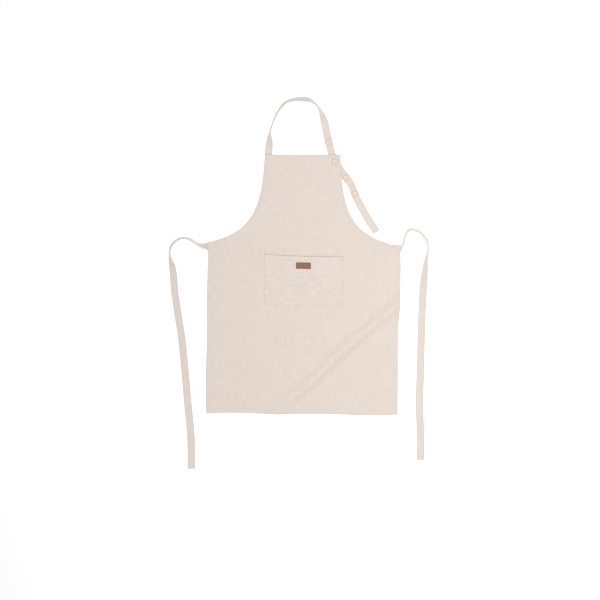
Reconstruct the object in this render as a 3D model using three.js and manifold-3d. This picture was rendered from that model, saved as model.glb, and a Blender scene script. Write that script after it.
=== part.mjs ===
// Kitchen apron of undyed linen, lying face up on a flat surface with its strap and ties laid out.
// Millimetres. +Z is up and +Y runs from the skirt's hem to the bib.
// The origin is on the surface, under the panel at the height of the waist.

import * as THREE from "three";
import { mergeVertices } from "three/addons/utils/BufferGeometryUtils.js";
import Module from "manifold-3d";

const wasm = await Module();
wasm.setup();

// Cloth: one layer, the turned hem around the panel, and the gap between pieces that touch
const CLOTH = 1.2;
const HEM_CLOTH = 2 * CLOTH;
const HEM_WIDTH = 15;
const GAP = 0.3;

// How far the panel takes to slope down beside a strap that runs behind it
const STRAP_SLOPE = 9;

// Webbing of the neck strap and the waist ties
const STRAP_WIDTH = 25.4;
const STRAP_THICK = 1.8;
const STRAP_STEP = 18;

// Panel: its corners, as they lie
const HEM_LEFT = [-326.3, -563];
const HEM_RIGHT = [319.5, -567];
const WAIST_LEFT = [-321.5, 16.5];
const WAIST_RIGHT = [328.2, -11.5];
const BIB_LEFT = [-129.5, 312];
const BIB_RIGHT = [126.8, 311.3];
const ARMHOLE_FOOT_RIGHT = [297, 9.2];

// Skirt fold: the crest of a soft ridge from past the right side edge to the hem, steeper on its lower side
const FOLD = { upperSide: 36, lowerSide: 32 };
const FOLD_CREST = [
  { x: 346, y: -174, height: 10 },
  { x: 245, y: -257, height: 10 },
  { x: 175, y: -314.5, height: 10 },
  { x: 108, y: -374.8, height: 10 },
  { x: 44.6, y: -439.4, height: 9.6 },
  { x: -24.4, y: -498.2, height: 9 },
  { x: -58, y: -528.3, height: 8.2 },
  { x: -92, y: -558.8, height: 7.2 },
  { x: -118, y: -582.3, height: 6 },
];

// Pocket: its lower edge and its mouth from side to side. The mouth sags and stands open a little.
const POCKET = { gape: 6.6, mouthHem: 18, columnStep: 18, rows: 5 };
const POCKET_EDGES = [
  { x: -130.1, bottom: -193.9, mouth: -18.9 },
  { x: -122, bottom: -194, mouth: -25 },
  { x: -77, bottom: -195.1, mouth: -28.6 },
  { x: -10, bottom: -197.4, mouth: -31.4 },
  { x: 24, bottom: -198, mouth: -32.3 },
  { x: 91, bottom: -198.7, mouth: -32.4 },
  { x: 129, bottom: -199, mouth: -31.2 },
  { x: 137, bottom: -199, mouth: -28.7 },
];

// Leather tab on the pocket
const LABEL = { x: 1.4, y: -63.2, width: 50, height: 21.4, thick: 1.6 };

// Buttons: a turned disc on a short thread shank, at even steps back from the strap's free end
const BUTTON = { radius: 10, thick: 3.6, shank: 2.7, shankRadius: 1.5, holeRadius: 1, holeCircle: 3 };
const BUTTON_NAMES = ["button_end", "button_third", "button_fastened", "button_upper"];
const LAST_BUTTON = 148;
const BUTTON_PITCH = 64.9;
const FASTENED = BUTTON_NAMES.indexOf("button_fastened");
const BUTTONHOLE = { length: 22, width: 4.4 };

// Routes of the three straps. Each row is a place on the edge that rests on the surface, and roll is how far
// the strap is turned up about that edge: 0 lies flat, 90 stands upright.
const NECK_ROUTE = [
  { x: -129.5, y: 297.5, roll: 0 },
  { x: -129, y: 319.5, roll: 0 },
  { x: -127.5, y: 333, roll: 8 },
  { x: -125, y: 351.5, roll: 28 },
  { x: -121, y: 373.5, roll: 55 },
  { x: -116.2, y: 388, roll: 73 },
  { x: -109.3, y: 405.5, roll: 82 },
  { x: -101, y: 427.3, roll: 83 },
  { x: -90.4, y: 454.3, roll: 77 },
  { x: -69.2, y: 485.8, roll: 70 },
  { x: -54, y: 496.5, roll: 69 },
  { x: -32, y: 504.3, roll: 62 },
  { x: -5, y: 507.2, roll: 54.5 },
  { x: 20.5, y: 505, roll: 53 },
  { x: 35.2, y: 495.6, roll: 66 },
  { x: 51, y: 480, roll: 75 },
  { x: 63.5, y: 464, roll: 66 },
  { x: 73, y: 450.2, roll: 47 },
  { x: 79.4, y: 438.6, roll: 29 },
  { x: 84, y: 427, roll: 12 },
  { x: 89.5, y: 405.7, roll: 0 },
  { x: 95.5, y: 373.8, roll: 0 },
  { x: 109.3, y: 319.7, roll: 0 },
  { x: 117, y: 295.5, roll: 0 },
  { x: 126.5, y: 281.5, roll: 0 },
  { x: 139.2, y: 264.8, roll: 0 },
  { x: 156, y: 241.5, roll: 0 },
  { x: 170.2, y: 222.6, roll: 0 },
  { x: 177.2, y: 209.6, roll: 0 },
  { x: 186, y: 185, roll: 0 },
  { x: 225.6, y: 109, roll: 0 },
  { x: 260, y: 56.8, roll: 0 },
];
const LEFT_TIE_ROUTE = [
  { x: -302.5, y: 15, roll: 0 },
  { x: -325, y: 15.2, roll: 0 },
  { x: -332, y: 13.6, roll: 34 },
  { x: -339, y: 12.3, roll: 52 },
  { x: -347.8, y: 13.4, roll: 64 },
  { x: -358, y: 17.7, roll: 71 },
  { x: -374.5, y: 28, roll: 71 },
  { x: -387.8, y: 33.4, roll: 72 },
  { x: -402, y: 34.8, roll: 75 },
  { x: -417, y: 32, roll: 75 },
  { x: -431, y: 25, roll: 73 },
  { x: -442.6, y: 16, roll: 72 },
  { x: -449.3, y: 5, roll: 74 },
  { x: -452.2, y: -7, roll: 77 },
  { x: -453.6, y: -20.5, roll: 80 },
  { x: -454.7, y: -39, roll: 64 },
  { x: -453.2, y: -66, roll: 32 },
  { x: -450, y: -95, roll: 18 },
  { x: -446.6, y: -147, roll: 13.5 },
  { x: -439, y: -201, roll: 12.5 },
  { x: -422.6, y: -309, roll: 11 },
  { x: -411.4, y: -417.5, roll: 7.5 },
  { x: -402.3, y: -525.5, roll: 4 },
  { x: -391.8, y: -634, roll: 1 },
  { x: -389.6, y: -749.5, roll: 0 },
];
const RIGHT_TIE_ROUTE = [
  { x: 299, y: 7.4, roll: 0 },
  { x: 318, y: 7.4, roll: 0 },
  { x: 328.9, y: 7.2, roll: 0 },
  { x: 330.7, y: 7.3, roll: 58 },
  { x: 332.5, y: 8, roll: 74 },
  { x: 334.6, y: 10, roll: 81 },
  { x: 336.8, y: 14.4, roll: 82 },
  { x: 338.3, y: 23, roll: 82 },
  { x: 340.4, y: 34, roll: 81 },
  { x: 344.3, y: 47.9, roll: 75.5 },
  { x: 351, y: 58, roll: 73.5 },
  { x: 359.8, y: 62.7, roll: 76 },
  { x: 369.4, y: 63, roll: 80 },
  { x: 383.2, y: 58.5, roll: 80 },
  { x: 398.2, y: 51.3, roll: 76.5 },
  { x: 413.1, y: 37.6, roll: 72 },
  { x: 422.8, y: 23, roll: 74 },
  { x: 425.4, y: 3.6, roll: 80 },
  { x: 425.6, y: -13.5, roll: 77.5 },
  { x: 424.6, y: -39, roll: 61.5 },
  { x: 423, y: -71, roll: 46 },
  { x: 422.1, y: -101.5, roll: 24.5 },
  { x: 419.1, y: -138.5, roll: 9.5 },
  { x: 415.7, y: -201, roll: 0 },
  { x: 412.1, y: -309, roll: 0 },
  { x: 409.5, y: -417.5, roll: 0 },
  { x: 406.3, y: -525.5, roll: 0 },
  { x: 409.6, y: -634, roll: 0 },
  { x: 410, y: -719.5, roll: 0 },
];

const LINEN = { color: "#e6dacf", roughness: 0.9, metalness: 0 };
const LEATHER = { color: "#986f59", roughness: 0.6, metalness: 0 };
const BEECH = { color: "#efdac6", roughness: 0.5, metalness: 0 };

const radians = THREE.MathUtils.degToRad;
const point = ([x, y]) => new THREE.Vector2(x, y);

// Evenly spaced numbers from one end to the other.
function spread(from, to, steps) {
  return Array.from({ length: steps + 1 }, (_, i) => from + ((to - from) * i) / steps);
}

// Signed volume of an indexed triangle mesh: negative where its faces point inwards.
function signedVolume(position, index) {
  const [a, b, c] = [new THREE.Vector3(), new THREE.Vector3(), new THREE.Vector3()];
  let sum = 0;
  for (let i = 0; i < index.length; i += 3) {
    a.fromBufferAttribute(position, index[i]);
    b.fromBufferAttribute(position, index[i + 1]);
    c.fromBufferAttribute(position, index[i + 2]);
    sum += a.dot(b.cross(c)) / 6;
  }
  return sum;
}

// Solid from a closed geometry, with its shared corners merged and its faces turned outwards.
function solidFrom(geometry) {
  const bare = geometry.clone();
  bare.deleteAttribute("normal");
  bare.deleteAttribute("uv");
  const merged = mergeVertices(bare, 1e-3);
  const position = merged.getAttribute("position");
  const corners = merged.index.array;
  const index = [];
  for (let i = 0; i < corners.length; i += 3) {
    const [a, b, c] = corners.slice(i, i + 3);
    if (a !== b && b !== c && c !== a) {
      index.push(a, b, c);
    }
  }
  if (signedVolume(position, index) < 0) {
    index.reverse();
  }
  const mesh = new wasm.Mesh({
    numProp: 3,
    vertProperties: new Float32Array(position.array),
    triVerts: new Uint32Array(index),
  });
  return new wasm.Manifold(mesh);
}

// Geometry of a finished solid.
function geometryOf(solid) {
  const mesh = solid.getMesh();
  const geometry = new THREE.BufferGeometry();
  geometry.setAttribute("position", new THREE.BufferAttribute(mesh.vertProperties, 3));
  geometry.setIndex(new THREE.BufferAttribute(mesh.triVerts, 1));
  geometry.computeVertexNormals();
  return geometry;
}

// Closed solid between two grids of points that have the same rows and columns.
function solidBetween(top, bottom) {
  const rows = top.length;
  const columns = top[0].length;
  const positions = [...top.flat(), ...bottom.flat()].flatMap((p) => [p.x, p.y, p.z]);
  const upper = (row, column) => row * columns + column;
  const lower = (row, column) => rows * columns + row * columns + column;
  const index = [];
  const quad = (a, b, c, d) => index.push(a, b, c, a, c, d);
  for (let i = 0; i < rows - 1; i += 1) {
    for (let j = 0; j < columns - 1; j += 1) {
      quad(upper(i, j), upper(i + 1, j), upper(i + 1, j + 1), upper(i, j + 1));
      quad(lower(i, j), lower(i, j + 1), lower(i + 1, j + 1), lower(i + 1, j));
    }
  }
  const last = { row: rows - 1, column: columns - 1 };
  for (let i = 0; i < rows - 1; i += 1) {
    quad(upper(i, 0), lower(i, 0), lower(i + 1, 0), upper(i + 1, 0));
    quad(upper(i, last.column), upper(i + 1, last.column), lower(i + 1, last.column), lower(i, last.column));
  }
  for (let j = 0; j < columns - 1; j += 1) {
    quad(upper(0, j), upper(0, j + 1), lower(0, j + 1), lower(0, j));
    quad(upper(last.row, j), lower(last.row, j), lower(last.row, j + 1), upper(last.row, j + 1));
  }
  const geometry = new THREE.BufferGeometry();
  geometry.setAttribute("position", new THREE.Float32BufferAttribute(positions, 3));
  geometry.setIndex(index);
  return solidFrom(geometry);
}

// Upright prism of a flat shape, from one height to another.
function prism(shape, low, high) {
  const geometry = new THREE.ExtrudeGeometry(shape, { depth: high - low, bevelEnabled: false });
  return solidFrom(geometry.translate(0, 0, low));
}

// Panel outline, anticlockwise from the hem's left corner: straight sides with a little drift, an armhole
// curve on each side, and the bib's top edge.
function panelOutline() {
  const spline = (...points) => new THREE.SplineCurve(points.map(point));
  const quadratic = (...points) => new THREE.QuadraticBezierCurve(...points.map(point));
  const cubic = (...points) => new THREE.CubicBezierCurve(...points.map(point));
  const hemDrift = [[-249, -560], [-88, -565], [57, -564], [210, -568.5]];
  const rightDrift = [[320.5, -460], [321.6, -285], [324.8, -232], [327.5, -199], [329.6, -120], [330, -55]];
  const leftDrift = [[-321.8, -45], [-324.5, -170], [-325.4, -340], [-328.6, -440], [-328.4, -530]];
  const topSag = [[92, 312], [0, 310.4], [-92, 312]];
  const edges = [
    { curve: spline(HEM_LEFT, ...hemDrift, HEM_RIGHT), steps: 12 },
    { curve: spline(HEM_RIGHT, ...rightDrift, WAIST_RIGHT), steps: 16 },
    { curve: quadratic(WAIST_RIGHT, [312, 0], ARMHOLE_FOOT_RIGHT), steps: 3 },
    { curve: cubic(ARMHOLE_FOOT_RIGHT, [151.5, 49.5], [131, 139], BIB_RIGHT), steps: 16 },
    { curve: spline(BIB_RIGHT, ...topSag, BIB_LEFT), steps: 6 },
    { curve: cubic(BIB_LEFT, [-137.6, 109], [-186, 46.5], WAIST_LEFT), steps: 16 },
    { curve: spline(WAIST_LEFT, ...leftDrift, HEM_LEFT), steps: 12 },
  ];
  return edges.flatMap(({ curve, steps }) => curve.getSpacedPoints(steps).slice(0, -1));
}

// The same outline moved inwards by a distance, corner by corner.
function inset(outline, distance) {
  const count = outline.length;
  const inward = (a, b) => new THREE.Vector2(a.y - b.y, b.x - a.x).normalize();
  return outline.map((here, i) => {
    const before = inward(outline[(i + count - 1) % count], here);
    const after = inward(here, outline[(i + 1) % count]);
    const mitre = before.clone().add(after).multiplyScalar(distance / (1 + before.dot(after)));
    return here.clone().add(mitre);
  });
}

// Stations along a strap's resting edge: place, roll, heading, the way its body lies, and distance so far.
// side is 1 where the strap's body lies to the left of its travel, and -1 where it lies to the right.
function strapStations(route, side) {
  const rows = route.map((row) => new THREE.Vector3(row.x, row.y, row.roll));
  const curve = new THREE.CatmullRomCurve3(rows);
  const places = [rows[0]];
  for (let i = 1; i < rows.length; i += 1) {
    const length = Math.hypot(rows[i].x - rows[i - 1].x, rows[i].y - rows[i - 1].y);
    const shares = spread(0, 1, Math.ceil(length / STRAP_STEP)).slice(1);
    places.push(...shares.map((share) => curve.getPoint((i - 1 + share) / (rows.length - 1))));
  }
  let along = 0;
  return places.map((place, i) => {
    const before = places[Math.max(i - 1, 0)];
    const after = places[Math.min(i + 1, places.length - 1)];
    const heading = new THREE.Vector3(after.x - before.x, after.y - before.y, 0).normalize();
    along += i > 0 ? Math.hypot(place.x - before.x, place.y - before.y) : 0;
    return {
      edge: new THREE.Vector3(place.x, place.y, 0),
      roll: radians(Math.max(place.z, 0)),
      heading,
      across: new THREE.Vector3(-heading.y, heading.x, 0).multiplyScalar(side),
      along,
    };
  });
}

// Middle of the strap lying flat at a distance along its resting edge, before its first station too.
function strapMiddle(stations, distance) {
  const next = stations.findIndex((station) => station.along > distance);
  const i = Math.min(Math.max(next < 0 ? stations.length - 2 : next - 1, 0), stations.length - 2);
  const share = (distance - stations[i].along) / (stations[i + 1].along - stations[i].along);
  const mix = (key) => stations[i][key].clone().lerp(stations[i + 1][key], share);
  const across = mix("across").normalize();
  const place = mix("edge").addScaledVector(across, STRAP_WIDTH / 2);
  return { place, across, heading: mix("heading").normalize() };
}

// Webbing along its stations. Its section turns up from the surface on the body's side of the resting edge.
function strapSolid(stations) {
  const up = new THREE.Vector3(0, 0, 1);
  const top = [];
  const bottom = [];
  for (const { edge, roll, across } of stations) {
    const width = across.clone().multiplyScalar(Math.cos(roll)).addScaledVector(up, Math.sin(roll));
    const thick = across.clone().multiplyScalar(-Math.sin(roll)).addScaledVector(up, Math.cos(roll));
    const near = edge.clone().addScaledVector(across, STRAP_THICK * Math.sin(roll));
    const far = near.clone().addScaledVector(width, STRAP_WIDTH);
    bottom.push([near, far]);
    top.push([near, far].map((corner) => corner.clone().addScaledVector(thick, STRAP_THICK)));
  }
  return solidBetween(top, bottom);
}

// A rise in the panel: sections across a line, each lifting a profile of the given shape.
// cover(thick) is the block up to the cloth's upper face, and hollow is the space under the cloth.
function panelRise(sections, profile) {
  const block = (lift, floor) => {
    const corner = ({ place, across, rise }, { reach, share }) =>
      place.clone().addScaledVector(across, reach).setZ(rise * share + lift);
    const top = sections.map((section) => profile.map((step) => corner(section, step)));
    const bottom = top.map((row) => row.map((place) => place.clone().setZ(floor)));
    return solidBetween(top, bottom);
  };
  const clear = 0.02;
  return { cover: (thick) => block(thick, 0), hollow: block(-clear, -HEM_WIDTH) };
}

// The soft fold: a rounded ridge that runs out at the hem.
function foldRise() {
  const sections = FOLD_CREST.map(({ x, y, height }, i) => {
    const before = FOLD_CREST[Math.max(i - 1, 0)];
    const after = FOLD_CREST[Math.min(i + 1, FOLD_CREST.length - 1)];
    const across = new THREE.Vector3(before.y - after.y, after.x - before.x, 0).normalize();
    return { place: new THREE.Vector3(x, y, 0), across, rise: height };
  });
  const profile = spread(-1, 1, 8).map((step) => ({
    reach: step * (step < 0 ? FOLD.upperSide : FOLD.lowerSide),
    share: (1 + Math.cos(Math.PI * step)) / 2,
  }));
  return panelRise(sections, profile);
}

// The panel lifted over a strap that runs behind it. A closed end slopes down before the strap's sewn end.
function strapRise(stations, distances, closedEnd) {
  const flat = STRAP_WIDTH / 2 + 1;
  const profile = [
    { reach: -flat - STRAP_SLOPE, share: 0 },
    { reach: -flat, share: 1 },
    { reach: flat, share: 1 },
    { reach: flat + STRAP_SLOPE, share: 0 },
  ];
  const lifted = distances.map((distance) => ({ distance, rise: STRAP_THICK + GAP }));
  const ends = closedEnd ? [{ distance: distances[0] - STRAP_SLOPE, rise: 0 }] : [];
  const sections = [...ends, ...lifted].map(({ distance, rise }) => {
    const { place, across } = strapMiddle(stations, distance);
    return { place, across, rise };
  });
  return panelRise(sections, profile);
}

// Long hole with round ends for the strap's button, cut through the bib along the strap.
function buttonholeCutter({ place, heading }) {
  const radius = BUTTONHOLE.width / 2;
  const reach = BUTTONHOLE.length / 2 - radius;
  const slot = new THREE.Shape();
  slot.absarc(reach, 0, radius, -Math.PI / 2, Math.PI / 2);
  slot.absarc(-reach, 0, radius, Math.PI / 2, (3 * Math.PI) / 2);
  const depth = 2 * HEM_WIDTH;
  const geometry = new THREE.ExtrudeGeometry(slot, { depth, bevelEnabled: false, curveSegments: 6 });
  geometry.translate(0, 0, -depth / 2);
  geometry.rotateZ(Math.atan2(heading.y, heading.x));
  return solidFrom(geometry.translate(place.x, place.y, 0));
}

// The panel: one layer of cloth with a doubled hem all round, both lifted by the same rises.
function panelSolid(rises, buttonPlace) {
  const outline = panelOutline();
  const hemRing = new THREE.Shape(outline);
  hemRing.holes.push(new THREE.Path(inset(outline, HEM_WIDTH)));
  const tall = 2 * STRAP_WIDTH;
  const layer = (shape, thick) => {
    const limits = prism(shape, 0, tall);
    const covers = rises.map((rise) => rise.cover(thick).intersect(limits));
    return covers.reduce((cloth, cover) => cloth.add(cover), prism(shape, 0, thick));
  };
  const cloth = layer(new THREE.Shape(outline), CLOTH).add(layer(hemRing, HEM_CLOTH));
  const hollowed = rises.reduce((solid, rise) => solid.subtract(rise.hollow), cloth);
  return hollowed.subtract(buttonholeCutter(buttonPlace));
}

// The pocket's lower edge and mouth at a place from side to side.
function pocketEdges(x) {
  const next = POCKET_EDGES.findIndex((row, i) => i > 0 && row.x >= x);
  const [from, to] = [POCKET_EDGES[next - 1], POCKET_EDGES[next]];
  const share = (x - from.x) / (to.x - from.x);
  const mix = (key) => THREE.MathUtils.lerp(from[key], to[key], share);
  return { bottom: mix("bottom"), mouth: mix("mouth") };
}

// Height of the pocket's underside above its seams: flat at the sides and bottom, open at the mouth.
function pocketLift(x, y) {
  const [left, right] = [POCKET_EDGES[0].x, POCKET_EDGES.at(-1).x];
  const { bottom, mouth } = pocketEdges(x);
  const aside = (2 * x - left - right) / (right - left);
  return POCKET.gape * (1 - aside ** 4) * ((y - bottom) / (mouth - bottom));
}

// Patch of wall over the pocket's surface, from columns of places across and the rows at each of them.
function pocketWall(columns, rowsAt, base, thickAt) {
  const corner = (x, y, thick) => new THREE.Vector3(x, y, CLOTH + GAP + base + pocketLift(x, y) + thick);
  const top = columns.map((x) => rowsAt(x).map((y, i) => corner(x, y, thickAt(i))));
  const bottom = columns.map((x) => rowsAt(x).map((y) => corner(x, y, 0)));
  return solidBetween(top, bottom);
}

// The pocket, one layer with a doubled hem along its mouth.
function pocketSolid() {
  const columns = POCKET_EDGES.slice(1).flatMap(({ x }, i) => {
    const steps = Math.ceil((x - POCKET_EDGES[i].x) / POCKET.columnStep);
    return spread(POCKET_EDGES[i].x, x, steps).slice(i === 0 ? 0 : 1);
  });
  const rowsAt = (x) => {
    const { bottom, mouth } = pocketEdges(x);
    const hem = mouth - POCKET.mouthHem;
    return [...spread(bottom, hem, POCKET.rows), hem + CLOTH, mouth];
  };
  return pocketWall(columns, rowsAt, 0, (row) => (row > POCKET.rows ? HEM_CLOTH : CLOTH));
}

function labelSolid() {
  const columns = spread(LABEL.x - LABEL.width / 2, LABEL.x + LABEL.width / 2, 4);
  const rows = spread(LABEL.y - LABEL.height / 2, LABEL.y + LABEL.height / 2, 2);
  return pocketWall(columns, () => rows, CLOTH + GAP, () => LABEL.thick);
}

// Turned button with a raised rim and four thread holes, its underside at height 0, on its thread shank.
function buttonSolid() {
  const { radius, thick, shank, shankRadius, holeRadius, holeCircle } = BUTTON;
  const profile = [
    [0, -shank],
    [shankRadius, -shank],
    [shankRadius, 0],
    [radius - 1.4, 0],
    [radius, 1.1],
    [radius, thick - 0.9],
    [radius - 0.8, thick],
    [radius - 2, thick],
    [radius - 3.4, thick - 0.9],
    [0, thick - 1],
  ].map(point);
  const turned = solidFrom(new THREE.LatheGeometry(profile, 24).rotateX(Math.PI / 2));
  const holes = [45, 135, 225, 315].map((angle) => {
    const drill = new THREE.CylinderGeometry(holeRadius, holeRadius, 3 * thick, 8).rotateX(Math.PI / 2);
    const x = holeCircle * Math.cos(radians(angle));
    const y = holeCircle * Math.sin(radians(angle));
    return solidFrom(drill.translate(x, y, 0));
  });
  return holes.reduce((solid, hole) => solid.subtract(hole), turned);
}

function meshOf(name, solid, finish) {
  const mesh = new THREE.Mesh(geometryOf(solid), new THREE.MeshStandardMaterial(finish));
  mesh.name = name;
  return mesh;
}

const neck = strapStations(NECK_ROUTE, -1);
const leftTie = strapStations(LEFT_TIE_ROUTE, 1);
const rightTie = strapStations(RIGHT_TIE_ROUTE, -1);

const neckLength = neck.at(-1).along;
const buttonDistances = BUTTON_NAMES.map((_, i) => neckLength - LAST_BUTTON - i * BUTTON_PITCH);
const fastenedAt = buttonDistances[FASTENED];

const rises = [
  foldRise(),
  strapRise(neck, [-0.5, 10, 28], true),
  strapRise(neck, [-48, -24, 0, 20, 40, 60].map((step) => fastenedAt + step), false),
  strapRise(leftTie, [-0.5, 10, 20, 34], true),
  strapRise(rightTie, [-0.5, 12, 22, 34], true),
];

const apron = new THREE.Group();
apron.add(meshOf("apron_panel", panelSolid(rises, strapMiddle(neck, fastenedAt)), LINEN));
apron.add(meshOf("neck_strap", strapSolid(neck), LINEN));
apron.add(meshOf("waist_tie_left", strapSolid(leftTie), LINEN));
apron.add(meshOf("waist_tie_right", strapSolid(rightTie), LINEN));
apron.add(meshOf("pocket", pocketSolid(), LINEN));
apron.add(meshOf("leather_label", labelSolid(), LEATHER));

BUTTON_NAMES.forEach((name, i) => {
  const { place, heading } = strapMiddle(neck, buttonDistances[i]);
  const button = meshOf(name, buttonSolid(), BEECH);
  button.position.set(place.x, place.y, STRAP_THICK + GAP + BUTTON.shank);
  button.rotation.z = Math.atan2(heading.y, heading.x);
  apron.add(button);
});

export default apron;
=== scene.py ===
"""Looks of an undyed linen kitchen apron that lies face up with its strap and ties laid out.

Sizes and tables are in millimetres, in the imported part's frame: +Z is up from the table, and +Y runs
from the skirt's hem to the bib. Meshes are made in metres.
"""

import logging
import math
from collections.abc import Sequence
from dataclasses import dataclass, replace
from enum import Enum

import bpy
import numpy as np
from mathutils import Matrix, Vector
from mathutils.geometry import delaunay_2d_cdt


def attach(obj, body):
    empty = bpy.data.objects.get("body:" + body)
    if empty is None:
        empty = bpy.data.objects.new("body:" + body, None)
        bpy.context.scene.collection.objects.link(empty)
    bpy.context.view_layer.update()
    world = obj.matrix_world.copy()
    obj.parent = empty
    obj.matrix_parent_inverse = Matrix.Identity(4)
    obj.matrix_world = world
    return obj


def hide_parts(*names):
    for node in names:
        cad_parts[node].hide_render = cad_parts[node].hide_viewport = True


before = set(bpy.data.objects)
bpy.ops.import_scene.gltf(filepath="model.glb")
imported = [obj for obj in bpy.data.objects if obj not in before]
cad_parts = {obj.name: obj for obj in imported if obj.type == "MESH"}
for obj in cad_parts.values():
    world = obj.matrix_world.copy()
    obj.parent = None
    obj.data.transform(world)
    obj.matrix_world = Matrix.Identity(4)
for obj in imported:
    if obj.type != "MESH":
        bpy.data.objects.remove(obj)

LOG = logging.getLogger("apron")
MM = 0.001
CLOTH_MAP = "cloth"
# Mask attribute: painted shade along the cloth's seams and edges and on the buttons, and the leather's
# burnished edge.
SHADE_AND_EDGE = "shade_and_edge"
SHARP_EDGE = math.radians(60)

# Most points that a search in the plane takes at once, and the least length that it divides by.
CHUNK = 1500
TINY = 1e-9

Array = np.ndarray
FlatMesh = tuple[Array, Array]
Point = tuple[float, float]
Colour = tuple[float, float, float, float]
Piece = bpy.types.Object
Socket = bpy.types.NodeSocket


class Side(Enum):
    """Which way a strap's body lies from its resting edge, looking along its run."""

    LEFT = 1.0
    RIGHT = -1.0


class Slot(Enum):
    """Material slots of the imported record."""

    LINEN = "linen"
    LEATHER = "leather"
    WOOD = "wood"


# Routes of the straps: x, y of the edge that rests on the table, and the roll about it in degrees.
NECK_ROUTE = (
    (-129.5, 297.5, 0), (-129, 319.5, 0), (-127.5, 333, 8), (-125, 351.5, 28), (-121, 373.5, 55),
    (-116.2, 388, 73), (-109.3, 405.5, 82), (-101, 427.3, 83), (-90.4, 454.3, 77), (-69.2, 485.8, 70),
    (-54, 496.5, 69), (-32, 504.3, 62), (-5, 507.2, 54.5), (20.5, 505, 53), (35.2, 495.6, 66),
    (51, 480, 75), (63.5, 464, 66), (73, 450.2, 47), (79.4, 438.6, 29), (84, 427, 12),
    (89.5, 405.7, 0), (95.5, 373.8, 0), (109.3, 319.7, 0), (117, 295.5, 0), (126.5, 281.5, 0),
    (139.2, 264.8, 0), (156, 241.5, 0), (170.2, 222.6, 0), (177.2, 209.6, 0), (186, 185, 0),
    (225.6, 109, 0), (260, 56.8, 0),
)
LEFT_TIE_ROUTE = (
    (-302.5, 15, 0), (-325, 15.2, 0), (-332, 13.6, 34), (-339, 12.3, 52), (-347.8, 13.4, 64),
    (-358, 17.7, 71), (-374.5, 28, 71), (-387.8, 33.4, 72), (-402, 34.8, 75), (-417, 32, 75),
    (-431, 25, 73), (-442.6, 16, 72), (-449.3, 5, 74), (-452.2, -7, 77), (-453.6, -20.5, 80),
    (-454.7, -39, 64), (-453.2, -66, 32), (-450, -95, 18), (-446.6, -147, 13.5), (-439, -201, 12.5),
    (-422.6, -309, 11), (-411.4, -417.5, 7.5), (-402.3, -525.5, 4), (-391.8, -634, 1), (-389.6, -749.5, 0),
)
RIGHT_TIE_ROUTE = (
    (299, 7.4, 0), (318, 7.4, 0), (328.9, 7.2, 0), (330.7, 7.3, 58), (332.5, 8, 74),
    (334.6, 10, 81), (336.8, 14.4, 82), (338.3, 23, 82), (340.4, 34, 81), (344.3, 47.9, 75.5),
    (351, 58, 73.5), (359.8, 62.7, 76), (369.4, 63, 80), (383.2, 58.5, 80), (398.2, 51.3, 76.5),
    (413.1, 37.6, 72), (422.8, 23, 74), (425.4, 3.6, 80), (425.6, -13.5, 77.5), (424.6, -39, 61.5),
    (423, -71, 46), (422.1, -101.5, 24.5), (419.1, -138.5, 9.5), (415.7, -201, 0), (412.1, -309, 0),
    (409.5, -417.5, 0), (406.3, -525.5, 0), (409.6, -634, 0), (410, -719.5, 0),
)

# Marks along the stretches of strap behind the panel: the sewn end of the neck strap and the left tie, the
# longer one of the right tie, and the stretch to either side of the fastened button.
SEWN_END = (-10, 0, 12, 22)
LONG_SEWN_END = (-10, 0, 14, 28)
BUTTONED_STRETCH = range(-60, 81, 10)

# Crest of the fold in the skirt: x, y and height.
FOLD_CREST = (
    (346, -174, 10.4), (245, -257, 10.4), (175, -314.5, 10.4), (108, -374.8, 10.4), (44.6, -439.4, 10),
    (-24.4, -498.2, 9.3), (-58, -528.3, 8.5), (-92, -558.8, 7.5), (-118, -582.3, 6.3),
)

# Pocket from side to side: x, its lower edge and its mouth.
POCKET_EDGES = (
    (-130.1, -193.9, -18.9), (-126.5, -193.9, -22.8), (-122, -194, -25), (-77, -195.1, -28.6),
    (-10, -197.4, -31.4), (24, -198, -32.3), (91, -198.7, -32.4), (129, -199, -31.2), (137, -199, -28.7),
)


def smoothstep(low: float, high: float, value: Array) -> Array:
    """Smooth ramp from 0 at low to 1 at high."""
    share = np.clip((value - low) / (high - low), 0.0, 1.0)
    return share * share * (3.0 - 2.0 * share)


def bell(value: Array, middle: float, reach: float) -> Array:
    """Soft peak of 1 at the middle that falls off over the reach."""
    return np.exp(-(((value - middle) / reach) ** 2))


def rounding(depth: Array, radius: float) -> Array:
    """Quarter circle over an edge: 0 at the edge, and 1 from the radius inwards."""
    return np.sqrt(1.0 - (1.0 - np.clip(depth / radius, 0.0, 1.0)) ** 2)


def run_along(path: Array) -> Array:
    """Distance along a path at each of its points."""
    return np.concatenate([[0.0], np.cumsum(np.linalg.norm(np.diff(path, axis=0), axis=1))])


def left_of(headings: Array) -> Array:
    """Unit vectors in the plane that point to the left of the headings."""
    turned = np.stack([-headings[:, 1], headings[:, 0]], axis=1)
    return turned / np.linalg.norm(headings, axis=1)[:, None]


def resample(path: Array, spacing: float) -> Array:
    """Places marks evenly along a path, its two ends included.

    Args:
        path: Points of the path, one in each row.
        spacing: Distance wanted between marks.

    Returns:
        The marks, one in each row.
    """
    run = run_along(path)
    count = max(1, round(run[-1] / spacing))
    marks = np.linspace(0.0, run[-1], count + 1)
    return np.stack([np.interp(marks, run, column) for column in path.T], axis=1)


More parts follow.
